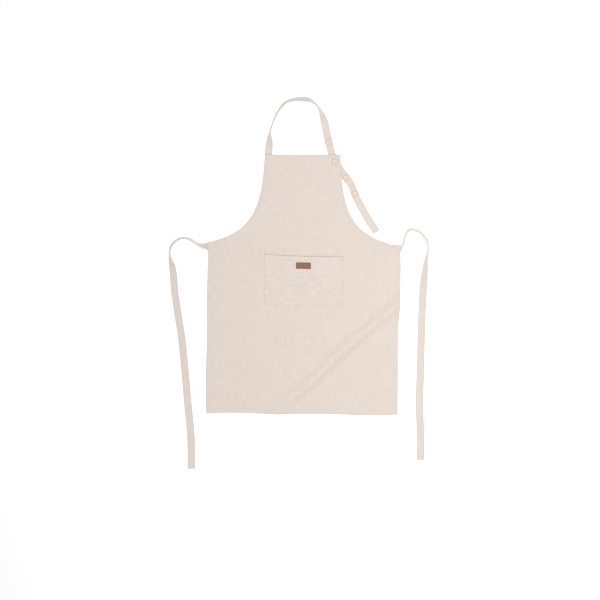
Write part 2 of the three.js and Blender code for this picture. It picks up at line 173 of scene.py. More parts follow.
def smooth_path(rows: Sequence[Sequence[float]], spacing: float) -> Array:
    """Draws a centripetal Catmull-Rom curve through rows of numbers.

    Args:
        rows: Places to pass through. The first two columns are x and y.
        spacing: Most distance in x and y between two points of the curve.

    Returns:
        Points of the curve, with the columns of the rows.
    """
    knots = np.array(rows, float)
    knots = np.vstack([2 * knots[0] - knots[1], knots, 2 * knots[-1] - knots[-2]])
    parts = []
    for a, b, c, d in zip(knots, knots[1:], knots[2:], knots[3:]):
        gaps = (math.sqrt(np.linalg.norm(q - p)) for p, q in ((a, b), (b, c), (c, d)))
        before, here, after = (max(gap, TINY) for gap in gaps)
        leave = here * ((b - a) / before - (c - a) / (before + here) + (c - b) / here)
        arrive = here * ((c - b) / here - (d - b) / (here + after) + (d - c) / after)
        steps = max(1, math.ceil(math.hypot(*(c - b)[:2]) / spacing))
        t = (np.arange(steps) / steps)[:, None]
        parts.append(
            (2 * t**3 - 3 * t**2 + 1) * b
            + (t**3 - 2 * t**2 + t) * leave
            + (3 * t**2 - 2 * t**3) * c
            + (t**3 - t**2) * arrive
        )
    parts.append(knots[-2:-1])
    return np.vstack(parts)


def bezier(*handles: Point, steps: int = 120) -> Array:
    """Draws the Bezier curve that the handles shape.

    Args:
        *handles: Its start, the handles that bend it, and its end.
        steps: Steps from start to end.

    Returns:
        Points of the curve, one in each row.
    """
    t = np.linspace(0.0, 1.0, steps + 1)[:, None]
    levels = [np.array(handle, float)[None, :] for handle in handles]
    while len(levels) > 1:
        levels = [(1 - t) * p + t * q for p, q in zip(levels, levels[1:])]
    return levels[0]


def nearest_on(points: Array, line: Array) -> tuple[Array, Array, Array]:
    """Finds the nearest place on a line for each point.

    Args:
        points: Points in the plane.
        line: Corners of the line. A closed loop repeats its first corner.

    Returns:
        Distance to the line, run along it, and 1 on its left or -1 on its right.
    """
    starts, steps = line[:-1], np.diff(line, axis=0)
    lengths = np.maximum(np.hypot(steps[:, 0], steps[:, 1]), TINY)
    runs = np.concatenate([[0.0], np.cumsum(lengths)[:-1]])
    distance, along, hand = (np.empty(len(points)) for _ in range(3))
    for first in range(0, len(points), CHUNK):
        part = slice(first, first + CHUNK)
        offset = points[part, None, :] - starts[None]
        share = np.clip((offset * steps).sum(axis=2) / lengths**2, 0.0, 1.0)
        square = ((offset - share[..., None] * steps) ** 2).sum(axis=2)
        best = square.argmin(axis=1)
        rows = np.arange(len(best))
        distance[part] = np.sqrt(square[rows, best])
        along[part] = runs[best] + share[rows, best] * lengths[best]
        near = offset[rows, best]
        hand[part] = np.sign(steps[best, 0] * near[:, 1] - steps[best, 1] * near[:, 0])
    return distance, along, hand


def inside(points: Array, loop: Array) -> Array:
    """Tells which points lie inside a closed loop.

    Args:
        points: Points in the plane.
        loop: Corners of the loop.

    Returns:
        True for each point inside.
    """
    starts, ends = loop, np.roll(loop, -1, axis=0)
    rise = ends[:, 1] - starts[:, 1]
    slope = (ends[:, 0] - starts[:, 0]) / np.where(rise == 0, TINY, rise)
    found = np.empty(len(points), bool)
    for first in range(0, len(points), CHUNK):
        part = slice(first, first + CHUNK)
        x, y = points[part, :1], points[part, 1:2]
        spans = (starts[:, 1] > y) != (ends[:, 1] > y)
        crossed = spans & (x < starts[:, 0] + (y - starts[:, 1]) * slope)
        found[part] = crossed.sum(axis=1) % 2 == 1
    return found


def closed(loop: Array) -> Array:
    """The loop with its first corner repeated at its end."""
    return np.vstack([loop, loop[:1]])


def inset(loop: Array, distance: float, slack: float = 0.05) -> Array:
    """Moves an anticlockwise loop inwards.

    Args:
        loop: Corners of the loop.
        distance: How far inwards.
        slack: How much nearer to the loop a moved corner may lie.

    Returns:
        The corners that keep that distance from every part of the loop.
    """
    normal = left_of(np.roll(loop, -1, axis=0) - loop)
    before = np.roll(normal, 1, axis=0)
    mitre = (before + normal) / (1.0 + (before * normal).sum(axis=1))[:, None]
    moved = loop + distance * mitre
    depth, _, _ = nearest_on(moved, closed(loop))
    return moved[depth > distance - slack]


@dataclass(frozen=True)
class FlatCut:
    """A piece of flat material as cut: its outline, holes, and how finely it is meshed.

    Attributes:
        outline: Anticlockwise corners, close together.
        rings: Depths from the edge that get a row of points of their own.
        grid: Spacing of the points further in.
        holes: Loops that are cut out.
    """

    outline: Array
    rings: tuple[float, ...]
    grid: float
    holes: tuple[Array, ...] = ()

    # Shares of the grid's spacing: from row to row, and kept free inside the innermost ring.
    ROW_SHARE, FREE_SHARE = 0.87, 0.6
    # Room kept around a hole, distance at which two points are one, and size of an empty triangle.
    HOLE_ROOM, SNAP, EMPTY = 0.3, 1e-4, 1e-7

    def _inner_points(self) -> Array:
        """Points inside the outline: a row at each ring's depth, then a staggered grid.

        Returns:
            The points, one in each row.
        """
        low, high = self.outline.min(axis=0), self.outline.max(axis=0)
        rows = np.arange(low[1], high[1], self.grid * self.ROW_SHARE)
        columns = np.arange(low[0], high[0], self.grid)
        x, y = np.meshgrid(columns, rows)
        x = x + (np.arange(len(rows)) % 2)[:, None] * self.grid / 2
        field = np.stack([x.ravel(), y.ravel()], axis=1)
        field = field[inside(field, self.outline)]
        depth, _, _ = nearest_on(field, closed(self.outline))
        field = field[depth > (max(self.rings, default=0.0) + self.FREE_SHARE * self.grid)]
        points = np.vstack([*(inset(self.outline, ring) for ring in self.rings), field])
        for hole in self.holes:
            gap, _, _ = nearest_on(points, closed(hole))
            points = points[~inside(points, hole) & (gap > self.HOLE_ROOM)]
        return points

    def mesh(self) -> FlatMesh:
        """Meshes the cut with triangles.

        Returns:
            The points in the plane, and the corners of each triangle.
        """
        loops = [self.outline, *self.holes]
        points = np.vstack([*loops, self._inner_points()])
        edges: list[tuple[int, int]] = []
        for loop in loops:
            start = len(edges)
            edges += [(start + i, start + (i + 1) % len(loop)) for i in range(len(loop))]
        found = delaunay_2d_cdt([Vector(p) for p in points], edges, [], 0, self.SNAP)
        places = np.array([v[:] for v in found[0]])
        faces = np.array(found[2])
        a, b, c = (places[faces[:, k]] for k in range(3))
        turn = (b[:, 0] - a[:, 0]) * (c[:, 1] - a[:, 1]) - (b[:, 1] - a[:, 1]) * (c[:, 0] - a[:, 0])
        faces[turn < 0] = faces[turn < 0][:, ::-1]
        middle = (a + b + c) / 3.0
        keep = inside(middle, self.outline) & (np.abs(turn) > self.EMPTY)
        for hole in self.holes:
            keep &= ~inside(middle, hole)
        return places, faces[keep]


def make_piece(name: str, points: Array, faces: list, cloth: Array, shade_and_edge: Array) -> Piece:
    """Makes a smooth mesh object in the scene.

    Args:
        name: Name of the piece.
        points: Corners in millimetres.
        faces: Corner numbers of each face.
        cloth: Place of each corner on the flat material, in millimetres.
        shade_and_edge: Mask of each corner, 1 along seams and edges: painted shade on cloth and wood, the
            burnished edge on leather.

    Returns:
        The new object.
    """
    mesh = bpy.data.meshes.new(name)
    mesh.from_pydata((points * MM).tolist(), [], faces)
    corners = np.empty(len(mesh.loops), np.int32)
    mesh.loops.foreach_get("vertex_index", corners)
    layer = mesh.uv_layers.new(name=CLOTH_MAP)
    layer.data.foreach_set("uv", (cloth[corners] * MM).astype(np.float32).ravel())
    mask = mesh.attributes.new(SHADE_AND_EDGE, "FLOAT", "POINT")
    mask.data.foreach_set("value", shade_and_edge.astype(np.float32))
    mesh.polygons.foreach_set("use_smooth", np.ones(len(mesh.polygons), bool))
    mesh.set_sharp_from_angle(angle=SHARP_EDGE)
    mesh.validate()
    mesh.update()
    piece = bpy.data.objects.new(name, mesh)
    bpy.context.scene.collection.objects.link(piece)
    return piece


def make_shell(
    name: str, cut: FlatMesh, top: Array, under: Array, cloth: Array, shade_and_edge: Array
) -> Piece:
    """Makes a closed piece from a flat cut with an upper and an under face.

    Args:
        name: Name of the piece.
        cut: Points of the cut and its triangles.
        top: Place of each point on the upper face.
        under: Place of each point on the under face.
        cloth: Place of each point on the flat material.
        shade_and_edge: Mask of each point on the upper face, for painted shade and burnished edges.

    Returns:
        The new object.
    """
    count, faces = len(cut[0]), cut[1]
    sides = np.concatenate([faces[:, [0, 1]], faces[:, [1, 2]], faces[:, [2, 0]]])
    known = {(int(a), int(b)) for a, b in sides}
    rim = [(a, a + count, b + count, b) for a, b in sorted(known) if (b, a) not in known]
    every = faces.tolist() + (faces[:, ::-1] + count).tolist() + rim
    mask = np.concatenate([shade_and_edge, np.zeros(count)])
    return make_piece(name, np.vstack([top, under]), every, np.vstack([cloth, cloth]), mask)


def tube_faces(count: int, around: int) -> tuple[Array, Array]:
    """Faces of a closed tube of rings.

    Args:
        count: Number of rings.
        around: Points in each ring.

    Returns:
        Corner numbers of the quads between the rings, and of the two end faces.
    """
    place = np.arange(count * around).reshape(count, around)
    here, there = place[:-1], place[1:]
    quads = np.stack([here, np.roll(here, -1, 1), np.roll(there, -1, 1), there], axis=-1)
    return quads.reshape(-1, 4), np.stack([place[0, ::-1], place[-1]])


def make_sweep(name: str, rings: Array, cloth: Array, shade_and_edge: Array) -> Piece:
    """Makes a closed piece from rings of points along a run.

    Args:
        name: Name of the piece.
        rings: Points by ring and place in the ring.
        cloth: Place of each point on the flat material.
        shade_and_edge: Mask of each point, for painted shade and burnished edges.

    Returns:
        The new object.
    """
    quads, ends = tube_faces(*rings.shape[:2])
    faces = quads.tolist() + ends.tolist()
    return make_piece(name, rings.reshape(-1, 3), faces, cloth.reshape(-1, 2), shade_and_edge.ravel())


@dataclass(frozen=True)
class Ripples:
    """Low waves over cloth that lies on a table, as a sum of sines.

    Attributes:
        seed: Start of the random draws.
        shortest: Shortest wave.
        longest: Longest wave.
        height: Most height above the lowest trough.
        count: Number of waves.
        spread: Size of the sum, in steps of its usual size, that fills the full height.
    """

    seed: int
    shortest: float
    longest: float
    height: float
    count: int = 16
    spread: float = 3.0

    def heights(self, points: Array) -> Array:
        """Height of the waves at each point.

        Args:
            points: Places in the plane, or runs along a line in one column.

        Returns:
            Heights from 0 to the full height.
        """
        draw = np.random.default_rng(self.seed)
        waves = np.exp(draw.uniform(math.log(self.shortest), math.log(self.longest), self.count))
        angles = draw.uniform(0.0, 2.0 * math.pi, self.count)
        phases = draw.uniform(0.0, 2.0 * math.pi, self.count)
        headings = np.ones((1, self.count))
        if points.shape[1] == 2:
            headings = np.stack([np.cos(angles), np.sin(angles)])
        total = np.sin(points @ headings * (2.0 * math.pi / waves) + phases).mean(axis=1)
        return self.height * np.clip(0.5 + total * math.sqrt(self.count) / self.spread, 0.0, 1.0)


@dataclass(frozen=True)
class Thread:
    """Sewing thread: its stitch from hole to hole, its width and height on the cloth, the share of a stitch
    that shows, and the spacing of close stitches."""

    pitch: float = 3.3
    width: float = 0.8
    height: float = 0.55
    shown: float = 0.82
    close: float = 0.9


class StitchBook:
    """Collects the stitches of one piece and makes a single mesh of them."""

    # Rings along a stitch: place as a share of its length, share of the thread's size, and lift.
    STEPS = ((-0.5, 0.4, -0.7), (-0.36, 0.85, 0.1), (0.0, 1.0, 0.45), (0.36, 0.85, 0.1), (0.5, 0.4, -0.7))
    AROUND = 6

    def __init__(self, thread: Thread) -> None:
        """Starts an empty book for one thread.

        Args:
            thread: The thread.
        """
        self.thread = thread
        self.middles: list[Array] = []
        self.spans: list[Array] = []

    def lay(self, middle: Array, span: Array) -> None:
        """Lays one stitch by its middle and its length and heading."""
        self.middles.append(middle[None])
        self.spans.append(span[None])

    def run(self, path: Array) -> None:
        """Sews a row of stitches end to end.

        Args:
            path: Points of the row, on the surface.
        """
        marks = resample(path, self.thread.pitch)
        self.middles.append((marks[1:] + marks[:-1]) / 2.0)
        self.spans.append((marks[1:] - marks[:-1]) * self.thread.shown)

    def bar(self, path: Array, reach: float) -> None:
        """Sews close stitches across a path, as in a bar tack or a buttonhole.

        Args:
            path: Points along the bar, on the surface.
            reach: Length of each stitch.
        """
        marks = resample(path, self.thread.close)
        heading = np.gradient(marks, axis=0)
        across = np.stack([-heading[:, 1], heading[:, 0], np.zeros(len(heading))], axis=1)
        self.middles.append(marks)
        self.spans.append(across * (reach / np.linalg.norm(across, axis=1))[:, None])

    def _shape(self) -> tuple[Array, Array]:
        """Shapes one stitch.

        Returns:
            Share of the length, distance beside and height above of each point, and its place on the thread.
        """
        thread, angles = self.thread, np.arange(self.AROUND) * (2.0 * math.pi / self.AROUND)
        shape, cloth = [], []
        for along, size, lift in self.STEPS:
            beside = np.cos(angles) * size * thread.width / 2.0
            above = (np.sin(angles) * size * 0.5 + lift) * thread.height
            shape.append(np.stack([np.full(self.AROUND, along), beside, above], axis=1))
            cloth.append(np.stack([np.full(self.AROUND, along * thread.pitch), angles], axis=1))
        return np.vstack(shape), np.vstack(cloth)

    def make(self, name: str) -> Piece:
        """Makes the mesh of all stitches.

        Args:
            name: Name of the piece.

        Returns:
            The new object.
        """
        middles, spans = np.vstack(self.middles), np.vstack(self.spans)
        lengths = np.linalg.norm(spans, axis=1)[:, None]
        ahead = spans / lengths
        beside = np.stack([-ahead[:, 1], ahead[:, 0], np.zeros(len(ahead))], axis=1)
        beside /= np.linalg.norm(beside, axis=1)[:, None]
        upward = np.cross(ahead, beside)
        shape, cloth = self._shape()
        points = (
            middles[:, None]
            + (shape[:, 0] * lengths)[..., None] * ahead[:, None]
            + shape[None, :, 1:2] * beside[:, None]
            + shape[None, :, 2:3] * upward[:, None]
        )
        quads, caps = tube_faces(len(self.STEPS), self.AROUND)
        starts = np.arange(len(middles)) * len(shape)
        faces = (quads[None] + starts[:, None, None]).reshape(-1, 4).tolist()
        faces += np.concatenate([cap[None] + starts[:, None] for cap in caps]).tolist()
        flat = np.tile(cloth, (len(middles), 1))
        return make_piece(name, points.reshape(-1, 3), faces, flat, np.zeros(len(flat)))


class NodeBoard:
    """Adds nodes to one shader tree and joins their sockets."""

    def __init__(self, tree: bpy.types.NodeTree) -> None:
        """Keeps the tree and clears it."""
        self.tree = tree
        tree.nodes.clear()

    def add(self, kind: str, **values: object) -> bpy.types.Node:
        """Adds a node and sets its properties.

        Args:
            kind: Blender's type of the node.
            **values: Properties by name.

        Returns:
            The new node.
        """
        node = self.tree.nodes.new(kind)
        for name, value in values.items():
            setattr(node, name, value)
        return node

    def feed(self, socket: Socket, source: object) -> None:
        """Links a socket to another, or sets a plain value on it.

        Args:
            socket: The socket that is fed.
            source: Another socket, or the value.
        """
        if isinstance(source, bpy.types.NodeSocket):
            self.tree.links.new(source, socket)
        else:
            socket.default_value = source

    def fill(self, node: bpy.types.Node, sources: dict) -> None:
        """Feeds several inputs of a node, by name or number."""
        for key, source in sources.items():
            self.feed(node.inputs[key], source)

    def get(self, output: str | int, kind: str, sources: dict, **values: object) -> Socket:
        """Adds a node, feeds its inputs and picks one of its outputs.

        Args:
            output: Name or number of the output.
            kind: Blender's type of the node.
            sources: What its inputs get, by name or number.
            **values: Properties by name.

        Returns:
            The socket of the output.
        """
        node = self.add(kind, **values)
        self.fill(node, sources)
        return node.outputs[output]

    def group(self, tree: bpy.types.NodeTree, **sources: object) -> bpy.types.Node:
        """Places a shared group and feeds its inputs.

        Args:
            tree: The group.
            **sources: What its inputs get, by name.

        Returns:
            The group's node.
        """
        node = self.add("ShaderNodeGroup", node_tree=tree)
        self.fill(node, sources)
        return node

    def shade_and_edge(self) -> Socket:
        """The mask of painted shade along seams and edges, and of the leather's burnished edge."""
        return self.get("Fac", "ShaderNodeAttribute", {}, attribute_name=SHADE_AND_EDGE)

    def axes(self, vector: Socket) -> list[Socket]:
        """X and Y of a vector."""
        return [self.get(axis, "ShaderNodeSeparateXYZ", {0: vector}) for axis in ("X", "Y")]

    def math(self, operation: str, *sources: object) -> Socket:
        """One calculation with sockets or plain numbers."""
        return self.get(0, "ShaderNodeMath", dict(enumerate(sources)), operation=operation)

    def vector(self, operation: str, *sources: object) -> Socket:
        """One calculation with vectors, given as sockets or plain numbers."""
        return self.get(0, "ShaderNodeVectorMath", dict(enumerate(sources)), operation=operation)

    def line(self, value: Socket, gain: object, base: object) -> Socket:
        """A value times a gain, plus a base."""
        return self.math("MULTIPLY_ADD", value, gain, base)

    def noise(self, place: Socket, cells: object, detail: float, output: str = "Fac") -> Socket:
        """Soft noise from 0 to 1, with so many cells for each unit and so many finer layers."""
        sources = {"Vector": place, "Scale": cells, "Detail": detail}
        return self.get(output, "ShaderNodeTexNoise", sources)

    def mix(self, factor: object, first: object, second: object) -> Socket:
        """Two colours, mixed by the second one's share."""
        return self.get(2, "ShaderNodeMix", {0: factor, 6: first, 7: second}, data_type="RGBA")

    def bump(self, height: Socket, distance: float, strength: float) -> Socket:
        """Normal of a height from 0 to 1, whose full depth is in metres."""
        sources = {"Height": height, "Distance": distance, "Strength": strength}
        return self.get("Normal", "ShaderNodeBump", sources)

    def ramp(self, value: Socket, low: float, high: float) -> Socket:
        """A value stretched smoothly, so that low gives 0 and high gives 1."""
        sources = {"Value": value, "From Min": low, "From Max": high}
        return self.get("Result", "ShaderNodeMapRange", sources, interpolation_type="SMOOTHSTEP")


@dataclass(frozen=True)
class WeaveLook:
    """How the shared weave is laid out, in metres, cells for each metre, and shares.

    Attributes:
        sway: How far the threads wander.
        sway_cells: Cells of that wandering.
        overlap: Softness of the change from warp on top to weft on top.
        dip: Height of a thread where it goes under the other.
        across: Cells of the slubs across the threads.
        along: Cells of the slubs along the threads.
        finer: How much finer the short slubs are than the long ones.
        fine_share: Strength of the short slubs.
        level: Mean of all slubs together.
        thread_tone: Tone that a thread's crown adds.
        ground_tone: Tone between the threads.
        slub_height: Share of the slubs that stands up from the cloth.
    """

    sway: float = 0.0009
    sway_cells: float = 160.0
    overlap: float = 0.25
    dip: float = 0.55
    across: float = 240.0
    along: float = 27.0
    finer: float = 3.1
    fine_share: float = 0.6
    # thread_tone: Painted highlight that a thread's crown adds. ground_tone: Tone between the threads, left
    # darker as painted shade.
    level: float = 1.6
    thread_tone: float = 0.3
    ground_tone: float = 0.33
    slub_height: float = 0.4


class Effects:
    """Shader groups that several finishes share, each built once."""

    FLOAT, VECTOR = "NodeSocketFloat", "NodeSocketVector"
    # Share of the fine noise in the mottle.
    FINE_SHARE = 0.35

    def __init__(self, look: WeaveLook) -> None:
        """Builds the groups.

        Args:
            look: How the weave is laid out.
        """
        self.look = look
        self.weave = self._weave()
        self.mottle = self._mottle()

    def _start(
        self, name: str, inputs: dict[str, str], outputs: Sequence[str]
    ) -> tuple[NodeBoard, dict, dict]:
        """Starts a group.

        Args:
            name: Name of the group.
            inputs: Socket type by input name.
            outputs: Names of the values it puts out.

        Returns:
            The board of the group, its inner input sockets and its inner output sockets.
        """
        tree = bpy.data.node_groups.new(name, "ShaderNodeTree")
        for label, kind in inputs.items():
            tree.interface.new_socket(name=label, in_out="INPUT", socket_type=kind)
        for label in outputs:
            tree.interface.new_socket(name=label, in_out="OUTPUT", socket_type=self.FLOAT)
        board = NodeBoard(tree)
        source = board.add("NodeGroupInput")
        sink = board.add("NodeGroupOutput")
        return board, {k: source.outputs[k] for k in inputs}, {k: sink.inputs[k] for k in outputs}

    def _threads(self, board: NodeBoard, place: Socket, count: Socket) -> Socket:
        """Warp and weft that pass over and under each other.

        Args:
            board: Board of the group.
            place: Place on the cloth.
            count: Threads in a metre.

        Returns:
            The socket with their height.
        """
        look = self.look
        sway = board.noise(place, look.sway_cells, detail=2.0, output="Color")
        swayed = board.vector("MULTIPLY_ADD", sway, (look.sway, look.sway, 0.0), place)
        waves = []
        for axis in board.axes(swayed):
            turns = board.math("MULTIPLY", axis, count)
            waves.append(board.math("SINE", board.math("MULTIPLY", turns, math.pi)))
        warp, weft = (board.math("ABSOLUTE", wave) for wave in waves)
        warp_up = board.ramp(board.math("MULTIPLY", *waves), low=-look.overlap, high=look.overlap)
        weft_up = board.math("SUBTRACT", 1.0, warp_up)
        shown = []
        for thread, other, up in ((warp, weft, warp_up), (weft, warp, weft_up)):
            crown = board.math("MULTIPLY", thread, board.line(other, gain=1.0 - look.dip, base=look.dip))
            shown.append(board.math("MULTIPLY", crown, up))
        return board.math("ADD", *shown)

    def _slubs(self, board: NodeBoard, place: Socket) -> list[Socket]:
        """Thick and thin stretches of the threads.

        Args:
            board: Board of the group.
            place: Place on the cloth.

        Returns:
            Sockets with the slubs of the warp and of the weft.
        """
        look = self.look
        slubs = []
        for cells in ((look.across, look.along, 1.0), (look.along, look.across, 1.0)):
            finer = tuple(look.finer * cell for cell in cells)
            long_slub = board.noise(board.vector("MULTIPLY", place, cells), 1.0, detail=2.0)
            short_slub = board.noise(board.vector("MULTIPLY", place, finer), 1.0, detail=1.0)
            slubs.append(board.line(short_slub, gain=look.fine_share, base=long_slub))
        return slubs

    def _weave(self) -> bpy.types.NodeTree:
        """Plain weave with uneven threads: their tone, and their height on the cloth.

        Returns:
            The group.
        """
        look = self.look
        inputs = {"Map": self.VECTOR, "Threads": self.FLOAT, "Slub": self.FLOAT, "Lean": self.FLOAT}
        board, given, out = self._start("linen_weave", inputs, ("Tone", "Height"))
        threads = self._threads(board, given["Map"], given["Threads"])
        slubs = self._slubs(board, given["Map"])
        leaned = board.math("MULTIPLY", board.math("SUBTRACT", *slubs), given["Lean"])
        uneven = board.math("ADD", board.math("SUBTRACT", board.math("ADD", *slubs), look.level), leaned)
        # Painted shade of the weave: thread crowns lighter, gaps between threads darker.
        lit = board.line(threads, gain=look.thread_tone, base=look.ground_tone)
        board.feed(out["Tone"], board.line(uneven, gain=given["Slub"], base=lit))
        standing = board.math("MULTIPLY", given["Slub"], look.slub_height)
        board.feed(out["Height"], board.line(uneven, gain=standing, base=threads))
        return board.tree

    def _mottle(self) -> bpy.types.NodeTree:
        """Broad and fine uneven shading, as in cloth, hide and timber.

        Returns:
            The group.
        """
        inputs = {"Place": self.VECTOR, "Broad": self.FLOAT, "Fine": self.FLOAT}
        board, given, out = self._start("soft_mottle", inputs, ("Shade", "Grain"))
        broad = board.noise(given["Place"], given["Broad"], detail=2.0)
        fine = board.noise(given["Place"], given["Fine"], detail=4.0)
        base = board.math("MULTIPLY", broad, 1.0 - self.FINE_SHARE)
        board.feed(out["Shade"], board.line(fine, gain=self.FINE_SHARE, base=base))
        board.feed(out["Grain"], fine)
        return board.tree


class Finish:
    """A surface finish that can be put on pieces. Its tree starts with the cloth map and a shader."""

    name: str

    def start(self) -> tuple[bpy.types.Material, NodeBoard, Socket, bpy.types.Node]:
        """Starts the material of this finish.

        Returns:
            The material, its board, the cloth map's socket and the shader.
        """
        material = bpy.data.materials.new(self.name)
        material.use_nodes = True
        board = NodeBoard(material.node_tree)
        place = board.add("ShaderNodeUVMap", uv_map=CLOTH_MAP).outputs[0]
        shader = board.add("ShaderNodeBsdfPrincipled")
        sink = board.add("ShaderNodeOutputMaterial")
        board.feed(sink.inputs["Surface"], shader.outputs[0])
        return material, board, place, shader


@dataclass(frozen=True)
class LinenFinish(Finish):
    """Undyed linen of uneven thread.

    Attributes:
        name: Name of the material.
        light: Colour of the lightest thread.
        dark: Colour of the darkest thread.
        seam: Colour of the painted shade along seams and edges.
        threads: Threads in a metre.
        slub: How strongly thick and thin threads show.
        lean: How much more they show along the map's second axis than along its first.
        sheen: How much loose fibre lightens the cloth where it is seen along its face.
        drift: How far the tone drifts over the cloth.
        painted_shade: How much of that painted shade's colour shows where the mask is full.
        relief: Height of the weave, in metres.
    """

    name: str
    light: Colour
    dark: Colour
    seam: Colour
    threads: float = 1500.0
    slub: float = 0.72
    lean: float = 0.15
    sheen: float = 0.08
    drift: float = 0.24
    painted_shade: float = 0.55
    relief: float = 0.00022

    def make(self, effects: Effects) -> bpy.types.Material:
        """Builds the material.

        Args:
            effects: The shared groups.

        Returns:
            The material.
        """
        material, board, place, shader = self.start()
        settings = {"Threads": self.threads, "Slub": self.slub, "Lean": self.lean}
        weave = board.group(effects.weave, Map=place, **settings)
        mottle = board.group(effects.mottle, Place=place, Broad=9.0, Fine=70.0)
        drift = board.line(mottle.outputs["Shade"], gain=self.drift, base=-self.drift / 2.0)
        tone = board.math("ADD", weave.outputs["Tone"], drift)
        tone = board.math("MINIMUM", board.math("MAXIMUM", tone, 0.0), 1.0)
        colour = board.mix(tone, self.dark, self.light)
        # Painted shade: the seam colour is mixed into the cloth where the mask is set.
        painted_shade = board.math("MULTIPLY", board.shade_and_edge(), self.painted_shade)
        height = weave.outputs["Height"]
        looks = {
            "Base Color": board.mix(painted_shade, colour, self.seam),
            "Roughness": board.line(height, gain=-0.08, base=0.93),
            "Normal": board.bump(height, distance=self.relief, strength=0.7),
            "Specular IOR Level": 0.25,
            "Sheen Weight": self.sheen,
            "Sheen Roughness": 0.5,
        }
        board.fill(shader, looks)
        return material


@dataclass(frozen=True)
class ThreadFinish(Finish):
    """Twisted sewing thread.

    Attributes:
        name: Name of the material.
        light: Colour on the ply's crown, a painted highlight.
        dark: Colour between the plies, painted shade.
        twist: Turn of the plies, in radians for each metre.
    """

    name: str
    light: Colour
    dark: Colour
    twist: float = 6000.0

    def make(self, effects: Effects) -> bpy.types.Material:
        """Builds the material.

        Args:
            effects: The shared groups.

        Returns:
            The material.
        """
        material, board, place, shader = self.start()
        x, y = board.axes(place)
        along, around = board.math("MULTIPLY", x, self.twist), board.math("MULTIPLY", y, 1.0 / MM)
        plies = board.line(board.math("SINE", board.math("ADD", along, around)), gain=0.5, base=0.5)
        mottle = board.group(effects.mottle, Place=place, Broad=300.0, Fine=2500.0)
        # Painted shade between the plies and a painted highlight on their crowns, over a random mottle.
        tone = board.math("MULTIPLY", board.line(plies, gain=0.5, base=0.5), mottle.outputs["Shade"])
        looks = {
            "Base Color": board.mix(board.ramp(tone, low=0.15, high=0.6), self.dark, self.light),
            "Roughness": board.line(plies, gain=-0.12, base=0.8),
            "Normal": board.bump(plies, distance=0.0001, strength=0.6),
        }
        board.fill(shader, looks)
        return material


@dataclass(frozen=True)
class LeatherFinish(Finish):
    """Smooth brown leather with burnished cut edges.

    Attributes:
        name: Name of the material.
        light: Colour of the rubbed grain.
        dark: Colour in the pores.
        edge: Colour of the burnished edge and the pressed line.
        pores: Pores in a metre.
    """

    name: str
    light: Colour
    dark: Colour
    edge: Colour
    pores: float = 1400.0

    def make(self, effects: Effects) -> bpy.types.Material:
        """Builds the material.

        Args:
            effects: The shared groups.

        Returns:
            The material.
        """
        material, board, place, shader = self.start()
        mottle = board.group(effects.mottle, Place=place, Broad=120.0, Fine=900.0)
        cells = {"Vector": place, "Scale": self.pores}
        to_pore = board.get("Distance", "ShaderNodeTexVoronoi", cells, feature="DISTANCE_TO_EDGE")
        grain = board.ramp(to_pore, low=0.0, high=0.25)
        tone = board.math("MULTIPLY", board.line(grain, gain=0.35, base=0.65), mottle.outputs["Shade"])
        colour = board.mix(board.ramp(tone, low=0.2, high=0.7), self.dark, self.light)
        looks = {
            "Base Color": board.mix(board.shade_and_edge(), colour, self.edge),
            "Roughness": board.line(mottle.outputs["Grain"], gain=0.3, base=0.4),
            "Normal": board.bump(grain, distance=0.00012, strength=0.5),
            "Specular IOR Level": 0.3,
        }
        board.fill(shader, looks)
        return material


@dataclass(frozen=True)
class WoodFinish(Finish):
    """Pale turned wood with a waxed face.

    Attributes:
        name: Name of the material.
        light: Colour of the early wood.
        dark: Colour of the late wood.
        edge: Colour of the painted shadow on the rim and the painted shade around the thread holes.
        stretch: How much finer the grain is across the map's second axis.
        rings: How closely the year rings follow each other.
    """

    name: str
    light: Colour
    dark: Colour
    edge: Colour
    stretch: float = 7.0
    rings: float = 60.0

    def make(self, effects: Effects) -> bpy.types.Material:
        """Builds the material.

        Args:
            effects: The shared groups.

        Returns:
            The material.
        """
        material, board, place, shader = self.start()
        stretched = board.vector("MULTIPLY", place, (1.0, self.stretch, 1.0))
        mottle = board.group(effects.mottle, Place=stretched, Broad=45.0, Fine=420.0)
        grain = mottle.outputs["Grain"]
        rings = board.math("SINE", board.math("MULTIPLY", mottle.outputs["Shade"], self.rings))
        lines = board.line(rings, gain=0.22, base=0.5)
        tone = board.math("ADD", lines, board.line(grain, gain=0.6, base=-0.3))
        colour = board.mix(board.ramp(tone, low=0.1, high=0.9), self.dark, self.light)
        looks = {
            "Base Color": board.mix(board.shade_and_edge(), colour, self.edge),
            "Roughness": board.line(grain, gain=0.25, base=0.35),
            "Normal": board.bump(grain, distance=0.00008, strength=0.4),
            "Coat Weight": 0.1,
            "Coat Roughness": 0.35,
        }
        board.fill(shader, looks)
        return material


@dataclass(frozen=True)
class FloorFinish(Finish):
    """Matt white studio paper.

    Attributes:
        name: Name of the material.
        white: Colour of the paper.
        glow: Light that comes through the paper from below.
    """

    name: str
    white: Colour
    glow: float = 0.06

    def make(self) -> bpy.types.Material:
        """Builds the material.

        Returns:
            The material.
        """
        material, board, _, shader = self.start()
        looks = {
            "Base Color": self.white,
            "Roughness": 0.95,
            "Specular IOR Level": 0.1,
            "Emission Color": self.white,
            "Emission Strength": self.glow,
        }
        board.fill(shader, looks)
        return material


